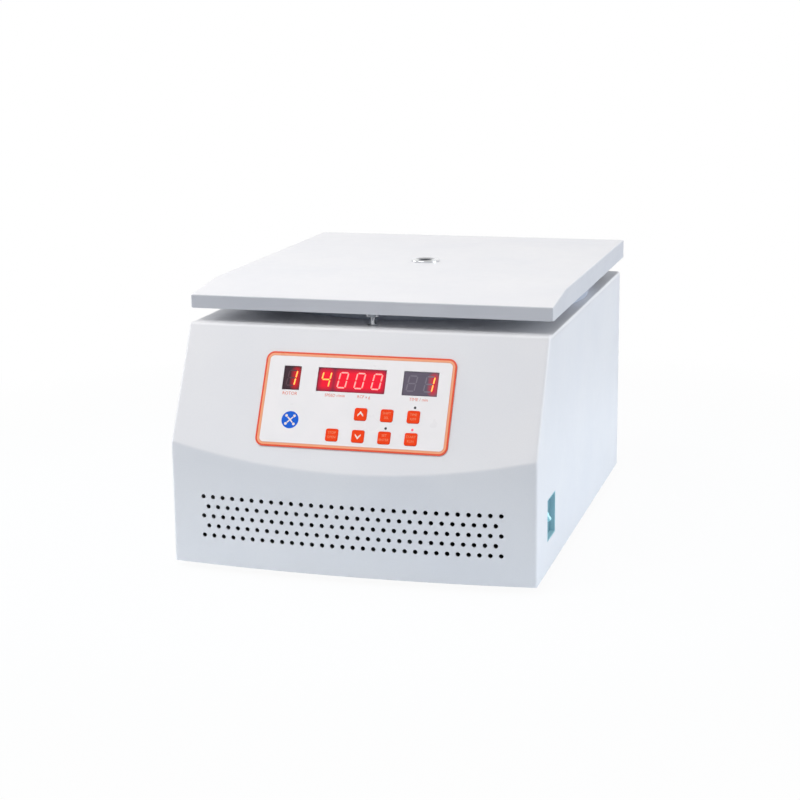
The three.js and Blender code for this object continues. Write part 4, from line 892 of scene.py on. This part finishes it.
def fold_lid():
    (x0, y0, z0), (x1, y1, z1) = lid_low, lid_high
    bend_y = y0 + LID["run"]
    side = [(y0, z0 - LID["drop"]), (y0, z0 + LID["rim"]), (bend_y, z1), (y1, z1), (y1, z0)]
    bm = bmesh.new()
    raise_outline(bm, [(x0, y, z) for y, z in side], (x1 - x0, 0, 0))
    bmesh.ops.recalc_face_normals(bm, faces=bm.faces)
    crease = [e for e in bm.edges if all(abs(v.co.y - bend_y) < TOUCH for v in e.verts)]
    bevel(bm, crease, LID["break"], 8)
    upper = [e for e in bm.edges if max(v.co.z for v in e.verts) > z0 + TOUCH]
    bevel(bm, [e for e in upper if e.calc_face_angle(0) > radians(15)], LID["bend"], 5)
    under = [f for f in bm.faces if f.normal.z < -0.9]
    bmesh.ops.delete(bm, geom=under, context="FACES")
    round_corners(bm)
    lid = built(bm, "lid_pan", lid_paint)
    wall = lid.modifiers.new("wall", "SOLIDIFY")
    wall.thickness, wall.offset, wall.use_even_offset = SHEET * MM, -1, True
    settle(lid)
    deep = 50
    port = [(0, -deep), (LID["port"], -deep), (LID["port"], deep), (0, deep)]
    cut(lid, turned("port_tool", port, CHAMBER + Vector((0, 0, z1)), paint))
    smooth(lid.data, 28)
    belong(lid, "lid_shell")


fold_lid()

# %% [markdown]
# ## The side, deck and back panels
#
# Flat sheet parts are right in the engineering model. What they lack is the tiny radius that
# every sheared and painted edge has, without which an edge looks cut from paper. A merged copy
# with a small bevel gives it.

# %% Soften the flat panels and small hardware
EDGES = {
    0.3: ("left_side_panel", "right_side_panel", "top_deck", "lid_liner"),
    0.4: ("hinge_leaf_left", "hinge_leaf_right", "lid_hinge_left", "lid_hinge_right", "power_inlet"),
    0.5: ("breaker_body",),
}
for rounding, nodes in EDGES.items():
    for node in nodes:
        softened(node, rounding)
softened("breaker_lever", 0.7, 3)
softened("rotor_head", 0.8, 3)

# %% [markdown]
# ## The back panel
#
# The louvre slots are cut with the same punch, with a round-ended tool. The plate itself is one
# raised outline with small corners, opened for the mains inlet.

# %% Make the back panel
rear_low, rear_high = box("rear_panel")
LOUVRE = {"length": 90, "width": 4, "pitch": 11, "rows": 7, "left": 42, "top": 40}
INLET = (27.5, 20)


def back_panel():
    back = Matrix.Translation((0, rear_high.y, middle("rear_panel").z)) @ TURN_UP
    outline = rounded_box(rear_high.x - rear_low.x, rear_high.z - rear_low.z, 3)
    plate = plates("back_panel", [outline], 0, SHEET, back, paint)
    inlet = middle("power_inlet")
    socket = Matrix.Translation((inlet.x, rear_high.y, inlet.z)) @ TURN_UP
    hole = rounded_box(*(side + 2 * CLEAR for side in INLET), 0.5)
    cut(plate, plates("inlet_tool", [hole], -5, 5, socket, paint))
    slot = rounded_box(LOUVRE["length"], LOUVRE["width"], LOUVRE["width"] / 2 - 0.01)
    tool = plates("slot_tool", [slot], -5, 5, TURN_UP, paint)
    span = (LOUVRE["rows"] - 1) * LOUVRE["pitch"]
    out = rear_high.x - LOUVRE["left"] - LOUVRE["length"] / 2
    for x in (-out, out):
        spot = Vector((x, rear_high.y - SHEET / 2, rear_high.z - LOUVRE["top"] - span / 2))
        punch_rows(plate, tool, 1, LOUVRE["rows"], 0, span, spot)
    bpy.data.objects.remove(tool)
    smooth(plate.data)
    belong(plate, "rear_panel")


back_panel()

# %% [markdown]
# ## Round parts of the chamber and the drive
#
# Bowl, seal, sight port, lock pin, feet and shaft boot are all turned shapes. The engineering
# model keeps them coarse to stay light; here the same profiles are turned again with enough
# steps to look round, and their rims get real radii.

# %% Turn the chamber's parts
bowl_low, bowl_high = box("chamber_bowl")
LINING = 1.2
BOWL_FLOOR = bowl_low.z + LINING
BOWL_R = bowl_high.x - LINING


def chamber_parts():
    corner, lip, hub = 6, LINING / 2, 30
    bowl = [
        *arc(BOWL_R + lip, bowl_high.z - lip, lip, 0, 180),
        *arc(BOWL_R - corner, BOWL_FLOOR + corner, corner, 0, -90, 8),
        (hub, BOWL_FLOOR), (hub, bowl_low.z),
        *arc(BOWL_R - corner, BOWL_FLOOR + corner, corner + LINING, -90, 0, 8),
    ]
    belong(turned("spun_bowl", bowl, CHAMBER, bowl_steel, 128), "chamber_bowl", "bowl_floor")
    low, high = heights("chamber_seal")
    out, wide, soft = 207, 14, 0.8
    ledge, lip = low + (high - low) / 3, wide / 4
    seal = [
        (out - wide, low), (out - 0.6, low), *arc(out - soft, low + soft, soft, -90, 0, 3),
        *arc(out - soft, ledge - soft, soft, 0, 50, 3),
        *arc(out - lip, high - lip, lip, -40, 180, 14),
        (out - wide * 0.62, ledge + 1.5),
        *arc(out - wide + soft, ledge - soft, soft, 90, 180, 3),
    ]
    belong(turned("soft_seal", seal, CHAMBER, silicone, 144), "chamber_seal")


chamber_parts()


# %% Turn the sight port
def sight_parts():
    low, top = heights("sight_bezel")
    flange, bore, lip, under = 18, 11, 9, top - 2.2
    bezel = [
        (bore - 1.5, low), (bore + 2, low), (bore + 2, under), (flange, under),
        *arc(flange - 0.9, under + 0.9, 0.9, 0, 60, 4), *arc(bore + 2.4, top - 1.2, 1.2, 75, 130, 4),
        (lip, top - 1.6), (lip, top - 2.8), (bore, top - 3.2), (bore, low + 3), (bore - 1.5, low + 3),
    ]
    belong(turned("sight_ring", bezel, CHAMBER, chrome, 72), "sight_bezel")
    foot, head = heights("sight_window")
    rim, soft = bore - CLEAR, 0.5
    pane = [(0, foot), (rim, foot), *arc(rim - soft, head - soft, soft, 0, 90, 3), (0, head)]
    belong(turned("sight_pane", pane, CHAMBER, glass), "sight_window")
    outer, inner, foot, head, soft = bore - 0.05, lip + 0.2, head + 0.1, top - 3.3, 0.3
    gasket = [
        (outer, foot), (outer, head), (inner + soft, head), (inner, head - soft),
        (inner, foot + soft), (inner + soft, foot),
    ]
    ring = turned("sight_gasket", gasket, CHAMBER, gasket_rubber)
    belong(ring, body="lid", slot=SLOT_OF["shaft_boot"])


sight_parts()


# %% Turn the lock pin
def striker():
    nose, end = heights("lock_pin")
    collar, neck, stud, washer, soft = 4.2, 2.6, 3, 8.5, 0.5
    neck_low, collar_low, collar_top = nose + 9, nose + 17, nose + 25
    washer_top = lid_low.z - 3.4
    washer_low = washer_top - 3.4
    shape = [
        (0, nose), *arc(neck - soft, nose + soft, soft, -90, -30, 3), (collar, nose + neck),
        (collar, neck_low - soft), (collar - soft, neck_low), (neck, neck_low + soft),
        (neck, collar_low), (collar - soft, collar_low), (collar, collar_low + soft),
        *arc(collar - soft, collar_top - soft, soft, 0, 90, 3), (stud, collar_top), (stud, washer_low),
        *arc(washer - soft, washer_low + soft, soft, -90, 0, 3),
        *arc(washer - soft, washer_top - soft, soft, 0, 90, 3),
        (stud, washer_top), (stud, end), (0, end),
    ]
    pin = Vector((0, middle("lock_pin").y, 0))
    belong(turned("striker", shape, pin, chrome, 48), "lock_pin")


striker()

# %% Turn the feet and the shaft boot
for node in ("foot_front_left", "foot_front_right", "foot_rear_left", "foot_rear_right"):
    low, high = heights(node)
    wide, narrow, bore, deep = 15, 12.5, 2.5, 5
    shape = [
        (0, high), *arc(wide - 0.8, high - 0.8, 0.8, 90, 0, 4),
        *arc(narrow - 1, low + 1, 1, -15, -90, 5),
        (bore + 1, low), (bore, low + 1), (bore, low + deep), (0, low + deep),
    ]
    spot = middle(node)
    foot = turned(node + "_moulded", shape, Vector((spot.x, spot.y, 0)), rubber, 48)
    belong(foot, node)

low, high = heights("shaft_boot")
bore, lip, waist = 21.5, 34, 29.7
boot = [
    (bore, low), (lip - 1, low), (lip, low + 1), (lip, bowl_low.z - CLEAR),
    (waist, bowl_low.z - CLEAR), (waist, BOWL_FLOOR + CLEAR), (lip, BOWL_FLOOR + CLEAR),
    (lip - 0.6, BOWL_FLOOR + 0.9), (27, high - 0.6), (bore + 1, high), (bore, high),
]
belong(turned("ribbed_boot", boot, CHAMBER, rubber), "shaft_boot")

# %% [markdown]
# ## Buckets, inserts and the hand nut
#
# Four aluminium cups hang on trunnions in the rotor's slots, each with a nylon insert that
# cushions a tube. They look alike, so one function makes all four, each at its node's place.

# %% Turn the buckets and their inserts
BUCKET = {"r": 27, "wall": 1.5, "rim": 29, "rim_tall": 5, "base": 12, "pivot": 14, "pin": 4}


def hang_bucket(k):
    node, lining = f"bucket_{k}", f"bucket_insert_{k}"
    low, high = heights(node)
    spot = middle(node)
    at = Vector((spot.x, spot.y, 0))
    r, wall, rim, base, pin = (BUCKET[part] for part in ("r", "wall", "rim", "base", "pin"))
    centre, ledge = (r - base, low + base), high - BUCKET["rim_tall"]
    cup = [
        (0, low), *arc(*centre, base, -90, 0, 8), (r, ledge - 1), (rim - 0.4, ledge), (rim, ledge + 0.4),
        *arc(rim - 0.7, high - 0.7, 0.7, 0, 90, 4), (r - wall + 0.3, high), (r - wall, high - 0.3),
        *arc(*centre, base - wall, 0, -90, 8), (0, low + wall),
    ]
    bm = lathe(cup, at, 64)
    reach, start = rim + 7, r - wall / 2
    for side in (-1, 1):
        along = Vector((0, side, 0)) if k % 2 else Vector((side, 0, 0))
        turn = along.to_track_quat("Z", "Y").to_matrix().to_4x4()
        mid = at + Vector((0, 0, high - BUCKET["pivot"])) + along * (reach + start) / 2
        place = Matrix.Translation(mid) @ turn
        size = {"radius1": pin, "radius2": pin, "depth": reach - start}
        made = bmesh.ops.create_cone(bm, cap_ends=True, segments=32, matrix=place, **size)
        tip = mid + along * (reach - start) / 2
        near = {v for v in made["verts"] if (v.co - tip).length < pin + 0.2}
        edges = {e for v in near for e in v.link_edges}
        bevel(bm, [e for e in edges if near.issuperset(e.verts)], 0.6)
    belong(built(bm, f"cup_{k}", aluminium, 32), node)
    low, high = heights(lining)
    outer, bore, mouth = r - wall - CLEAR, 20, 22
    sleeve = [
        (0, low), *arc(*centre, base - wall - CLEAR, -90, 0, 8),
        *arc(outer - 0.5, high - 0.5, 0.5, 0, 90, 3), *arc(mouth, high - 2, 2, 90, 180, 5),
        *arc(bore - 6, low + 14, 6, 0, -90, 5), (0, low + 8),
    ]
    belong(turned(f"sleeve_{k}", sleeve, at, nylon), lining)


for k in range(1, 5):
    hang_bucket(k)

# %% Shape the hand nut
NUT = {"radius": 15, "groove": 0.9, "flutes": 8, "steps": 96, "soft": 1.2}


def flute(angle):
    radius = NUT["radius"] + NUT["groove"] * (cos(NUT["flutes"] * angle) - 1)
    return radius * cos(angle), radius * sin(angle)


low, high = heights("rotor_nut")
flutes = [flute(2 * pi * k / NUT["steps"]) for k in range(NUT["steps"])]
nut = plates("hand_nut", [flutes], low, high, Matrix.Translation(CHAMBER), chrome, NUT["soft"])
belong(nut, "rotor_nut")

# %% [markdown]
# ## Keys
#
# The keys are moulded caps that stand a little proud of the film, with rounded corners and a
# soft top edge. Each rides on its own body, because each can be pressed by itself.

# %% Mould the keys
key_cap = rounded_box(KEY["side"], KEY["side"], KEY["corner"])
proud = KEY["proud"]
for node in KEYS:
    outline = shifted(key_cap, on_face(node))
    name, low = node + "_cap_moulded", proud - KEY["deep"]
    cap = plates(name, [outline], low, proud, FACE, key_plastic, KEY["soft"])
    belong(cap, node)

# %% [markdown]
# ## Seven-segment digits
#
# Each segment is a bar with pointed ends, so that neighbours meet along a thin mitred gap, and
# the whole digit leans a few degrees. The lit ones are lamps. On the rotor and time displays the
# unlit ones show as a paler shape in the smoked plastic, and on the speed display the glow hides
# them. There the first digit burns amber and the zeros pale.

# %% Draw one segment
SEGMENTS = {
    "a": (0, 1, 1, 1), "b": (1, 1, 1, 0), "c": (1, 0, 1, -1), "d": (0, -1, 1, -1),
    "e": (0, 0, 0, -1), "f": (0, 1, 0, 0), "g": (0, 0, 1, 0),
}
SHAPES = {" ": "", "0": "abcdef", "1": "bc", "4": "bcfg"}
MITRE, SLANT = 0.45, 0.14
DEPTH = (-0.34, -0.23)


def segment(letter, place):
    """One mitred bar of a digit, as an outline on the control face."""
    x0, y0, x1, y1 = SEGMENTS[letter]
    wide, tall, half = DIGIT["wide"], DIGIT["tall"] / 2, DIGIT["stroke"] / 2
    a = Vector(((x0 - 0.5) * wide, y0 * tall))
    b = Vector(((x1 - 0.5) * wide, y1 * tall))
    run = (b - a).normalized()
    side = Vector((-run.y, run.x)) * half
    a, b = a + run * MITRE, b - run * MITRE
    inner_a, inner_b = a + run * half, b - run * half
    bar = [a, inner_a - side, inner_b - side, b, inner_b + side, inner_a + side]
    return [(p.x + p.y * SLANT + place.x, p.y + place.y) for p in bar]


# %% Show the numbers
def show(node, text, pieces):
    """Draw a row of digits, one mesh for each piece: its name, finish, and which marks it draws."""
    spots = [on_face(node) + Vector(((i - (len(text) - 1) / 2) * pitch, 0, 0)) for i in range(len(text))]
    for name, material, marks, lit in pieces:
        outlines = [
            segment(letter, spot)
            for mark, spot in zip(text, spots) if mark in marks
            for letter in SEGMENTS if (letter in SHAPES[mark]) == lit
        ]
        belong(plates(name, outlines, *DEPTH, FACE, material), body="cabinet", slot="display_red")


rotor_pieces = [("rotor_digit_lit", lit_amber, "1", True), ("rotor_digit_unlit", unlit_dark, "1", False)]
time_pieces = [("time_digits_lit", lit_amber, " 1", True), ("time_digits_unlit", unlit, " 1", False)]
speed_pieces = [("speed_digits_amber", lit_amber, "4", True), ("speed_digits_pale", lit_pale, "0", True)]
show("rotor_display", "1", rotor_pieces)
show("time_display", " 1", time_pieces)
show("speed_display", "4000", speed_pieces)

# %% [markdown]
# ## Marks on the film and the keys
#
# Plain unit names stand under the windows, arrows or two short words on the keys, and a dot
# over three of them tells which function is on. They are flat outlines a few hundredths of a
# millimetre thick, which is how screen-printed ink stands on a film.

# %% Print the arrows, dots and emblem
INK = (0.005, 0.03)


def printed(name, outlines, material, node=None, lift=0):
    """Ink on a key, or on the film where no key is named."""
    lift += proud if node else 0
    piece = plates(name, outlines, INK[0] + lift, INK[1] + lift, FACE, material)
    belong_to_face(piece, node)


def belong_to_face(piece, key):
    belong(piece, body=BODY_OF[key] if key else "cabinet", slot="key_orange" if key else "overlay_film")


def chevron(place, up):
    """A thick arrow head."""
    w, h, t = 3.4, 2.2 * up, 2.0 * up
    shape = [(-w, -h), (0, h - t / 2), (w, -h), (w, -h + t), (0, h + t), (-w, -h + t)]
    return [(x + place.x, y + place.y - t / 4) for x, y in shape]


for node, up in (("key_up", 1), ("key_down", -1)):
    printed(node + "_arrow", [chevron(on_face(node), up)], ink_white, node)

DOT_ABOVE = Vector((0.6, 11, 0))
dot = circle(1.5, 24)
for node, material in (("key_timer", ink_black), ("key_program", ink_black), ("key_start", lit_dot)):
    printed(node + "_dot", [shifted(dot, on_face(node) + DOT_ABOVE)], material)

EMBLEM = Vector((-74.4, -24.2, 0))
ARM = {"inner": 1.0, "outer": 4.6, "half": 0.7, "cup": 6.7, "cup_radius": 1.6}
printed("rotor_emblem_disc", [shifted(circle(10.2, 48), EMBLEM)], ink_blue)
cross, cups = [], []
for turn in (pi / 4 + pi / 2 * k for k in range(4)):
    way = Vector((cos(turn), sin(turn), 0))
    aside = Vector((-sin(turn), cos(turn), 0)) * ARM["half"]
    inner, outer = EMBLEM + way * ARM["inner"], EMBLEM + way * ARM["outer"]
    cross += [(p.x, p.y) for p in (inner - aside, outer - aside, outer + aside, inner + aside)]
    cups.append(shifted(circle(ARM["cup_radius"], 24), EMBLEM + way * ARM["cup"]))
printed("rotor_emblem_sign", [cross, *cups], ink_white, lift=0.03)

# %% Print the words
HALF_INK, INK_HEIGHT = 0.012, 0.018


def lettered(name, text, size, place, material, key=None):
    """A word in a plain typeface, as a thin mesh on the control face."""
    curve = bpy.data.curves.new(name, "FONT")
    curve.body, curve.size = text, size * MM
    curve.align_x, curve.align_y = "CENTER", "CENTER"
    curve.extrude, curve.resolution_u = HALF_INK * MM, 3
    words = bpy.data.objects.new(name, curve)
    scene.collection.objects.link(words)
    bpy.context.view_layer.update()
    mesh = bpy.data.meshes.new_from_object(words.evaluated_get(bpy.context.evaluated_depsgraph_get()))
    bpy.data.objects.remove(words)
    to_metres = Matrix.Scale(MM, 4)
    height = INK_HEIGHT + (proud if key else 0)
    on_film = FACE @ Matrix.Translation((place.x, place.y, height))
    mesh.transform(to_metres @ on_film @ to_metres.inverted())
    belong_to_face(stand(mesh, name, material), key)


CAPTION_DROP = 18.6
CAPTIONS = [
    ("rotor_display", "ROTOR", 0, 5.2), ("speed_display", "SPEED r/min", -17, 4.7),
    ("speed_display", "RCF x g", 17, 4.7), ("time_display", "TIME / min", 0, 4.9),
]
for node, words, aside, size in CAPTIONS:
    spot = on_face(node) + Vector((aside, -CAPTION_DROP, 0))
    lettered(words.split()[0].lower() + "_caption", words, size, spot, ink_orange)
LABELS = {
    "key_stop": "STOP OPEN", "key_start": "START RUN", "key_program": "SET ENTER",
    "key_select": "SHIFT SEL", "key_timer": "TIME RPM",
}
WORD = {"size": 3.9, "lift": 2.6}
for node, words in LABELS.items():
    for word, lift in zip(words.split(), (WORD["lift"], -WORD["lift"])):
        spot = on_face(node) + Vector((0, lift, 0))
        lettered(f"{node}_{word.lower()}", word, WORD["size"], spot, ink_coral, node)

# %% [markdown]
# ## Screws
#
# Pan-head screws hold the back panel, the base pan, the hinges and the mains inlet. They are
# the classic case for instancing: one head with a cross recess, put on a list of points, each
# turned to face out of its panel.


# %% Make one screw head
def screw_head():
    dome = [(0, 0), (2.9, 0), *arc(0, -1.6, 3.35, 30, 90, 6)]
    head = turned("screw_head", dome, Vector((0, 0, 0)), zinc, 20)
    for long, wide in ((1.9, 0.35), (0.35, 1.9)):
        bar = [(-long, -wide), (long, -wide), (long, wide), (-long, wide)]
        cut(head, plates("recess_tool", [bar], 0.7, 3, Matrix.Identity(4), zinc))
    smooth(head.data)
    return head


# %% Build the screw tree
driver, given = tree_of("screws", {"Points": "Geometry", "Head": "Object", "Finish": "Material"})
attribute = driver.node("GeometryNodeInputNamedAttribute", {"Name": "facing"}, data_type="FLOAT_VECTOR")
facing = driver.node("FunctionNodeAlignRotationToVector", {"Vector": attribute}, axis="Z")
leave(driver, spread(driver, given["Points"], given["Head"], Rotation=facing), given["Finish"])
pattern = screw_head()


def drive_screws(name, places):
    """Put a screw head on each (point, direction)."""
    mesh = bpy.data.meshes.new(name)
    mesh.from_pydata([point * MM for point, _ in places], [], [])
    out = mesh.attributes.new("facing", "FLOAT_VECTOR", "POINT")
    for item, (_, way) in zip(out.data, places):
        item.vector = way
    piece = stand(mesh, name)
    run_tree(piece, driver, {"Head": pattern, "Finish": zinc})
    belong(piece, body="cabinet", slot="plain_steel")


# %% Drive the screws
BACK, DOWN = Vector((0, 1, 0)), Vector((0, 0, -1))
INSET, CORNER_INSET = 9, 14
INLET_SCREW = 20
LEAF = {"inset": 12, "rows": (8, 26), "proud": 2}
BASE_FRONT = 90
MOTOR_CIRCLE = 84
skin = rear_high.y
rear_spots = [
    (x, skin, z)
    for x in (rear_low.x + INSET, rear_high.x - INSET)
    for z in (rear_low.z + CORNER_INSET, middle("rear_panel").z, rear_high.z - CORNER_INSET)
]
rear_spots += [(0, skin, z) for z in (rear_low.z + INSET, rear_high.z - INSET)]
inlet, inlet_skin = middle("power_inlet"), box("power_inlet")[1].y
rear_spots += [(inlet.x + aside, inlet_skin, inlet.z) for aside in (-INLET_SCREW, INLET_SCREW)]
for leaf in ("hinge_leaf_left", "hinge_leaf_right"):
    low, high = box(leaf)
    columns = (low.x + LEAF["inset"], high.x - LEAF["inset"])
    rear_spots += [(x, skin + CLEAR + LEAF["proud"], low.z + z) for x in columns for z in LEAF["rows"]]
drive_screws("back_screws", [(Vector(spot), BACK) for spot in rear_spots])
low, high = box("base_plate")
base_spots = [
    (x, y, low.z)
    for x in (low.x + CORNER_INSET, high.x - CORNER_INSET)
    for y in (low.y + BASE_FRONT, CHAMBER.y, high.y - CORNER_INSET)
]
thirds = [pi / 2 + 2 * pi * k / 3 for k in range(3)]
base_spots += [(MOTOR_CIRCLE * cos(a), CHAMBER.y + MOTOR_CIRCLE * sin(a), low.z) for a in thirds]
drive_screws("base_screws", [(Vector(spot), DOWN) for spot in base_spots])
bpy.data.objects.remove(pattern)

# %% [markdown]
# ## Floor, light and world
#
# The photograph is a cut-out on white. The floor stays plain and pale and keeps the object's
# soft shadow, and the world looks white to the camera and to polished metal while it lights the
# scene at a plain level. A broad lamp above the front left makes the lid brightest, one at the
# right lights the side, and the front stays a shade darker. The floor's corners and the lamps'
# places and sizes are in metres.

# %% Lay the floor
REACH = 6
FADE = (550, 1100)
SHEET_WHITE, BEYOND = rgb(218, 230, 240), rgb(118, 123, 131)
FLOOR_WHITE = 0.95
floor_mesh = bpy.data.meshes.new("floor")
corners = [(-REACH, -REACH, 0), (REACH, -REACH, 0), (REACH, REACH, 0), (-REACH, REACH, 0)]
floor_mesh.from_pydata(corners, [], [(0, 1, 2, 3)])
ground = Finish("floor_white", SHEET_WHITE, 0.9)
across, along, _ = ground.axes()
far = (across * across + along * along).root().step(*FADE)
ground.set(Base_Color=ground.between(far, SHEET_WHITE, BEYOND))
glow = ground.node("ShaderNodeEmission", {"Color": (1, 1, 1, 1)})
seen = ground.node("ShaderNodeLightPath", output="Is Camera Ray")
white = seen * (FLOOR_WHITE + far * (1 - FLOOR_WHITE))
plain = Signal(ground, ground.shader.outputs[0])
mixed = ground.node("ShaderNodeMixShader", {0: white, 1: plain, 2: glow})
ground.feed(ground.tree.nodes["Material Output"].inputs["Surface"], mixed)
stand(floor_mesh, "floor", ground.material)

# %% Hang the lamps
AIM = Vector((0, 0, 0.15))
LAMPS = {
    "key_lamp": ((-0.8, -1.1, 2.55), 1.8, 35, (1, 0.985, 0.97)),
    "front_lamp": ((-0.4, -2.6, 1.5), 1.2, 3, (1, 1, 1)),
    "left_lamp": ((-2.2, 0.1, 1.2), 1.2, 20, (1, 1, 1)),
    "side_lamp": ((2.4, 0.3, 0.7), 1.4, 31, (0.93, 0.965, 1)),
}
for name, (place, size, power, colour) in LAMPS.items():
    data = bpy.data.lights.new(name, "AREA")
    data.shape, data.size, data.energy, data.color = "DISK", size, power, colour
    panel = bpy.data.objects.new(name, data)
    panel.location, panel.visible_camera = place, False
    panel.rotation_euler = (Vector(place) - AIM).to_track_quat("Z", "Y").to_euler()
    scene.collection.objects.link(panel)
    print(name, power, "W")

# %% Paint the world
AMBIENT = 0.45
scene.world = bpy.data.worlds.new("studio")
scene.world.use_nodes = True
sky = Graph(scene.world.node_tree)
seen = sky.node("ShaderNodeLightPath", output="Is Camera Ray")
glossy = Signal(sky, sky.last.outputs["Is Glossy Ray"])
through = Signal(sky, sky.last.outputs["Is Transmission Ray"])
toward = sky.node("ShaderNodeTexCoord", output="Generated")
ceiling = sky.node("ShaderNodeSeparateXYZ", {0: toward}, 2).step(0.3, 0.7)
shown = seen.above(through).above(glossy * (1 - ceiling))
backdrop = sky.tree.nodes["Background"]
sky.feed(backdrop.inputs["Color"], (1, 1, 1, 1))
sky.feed(backdrop.inputs["Strength"], AMBIENT + shown * (1 - AMBIENT))
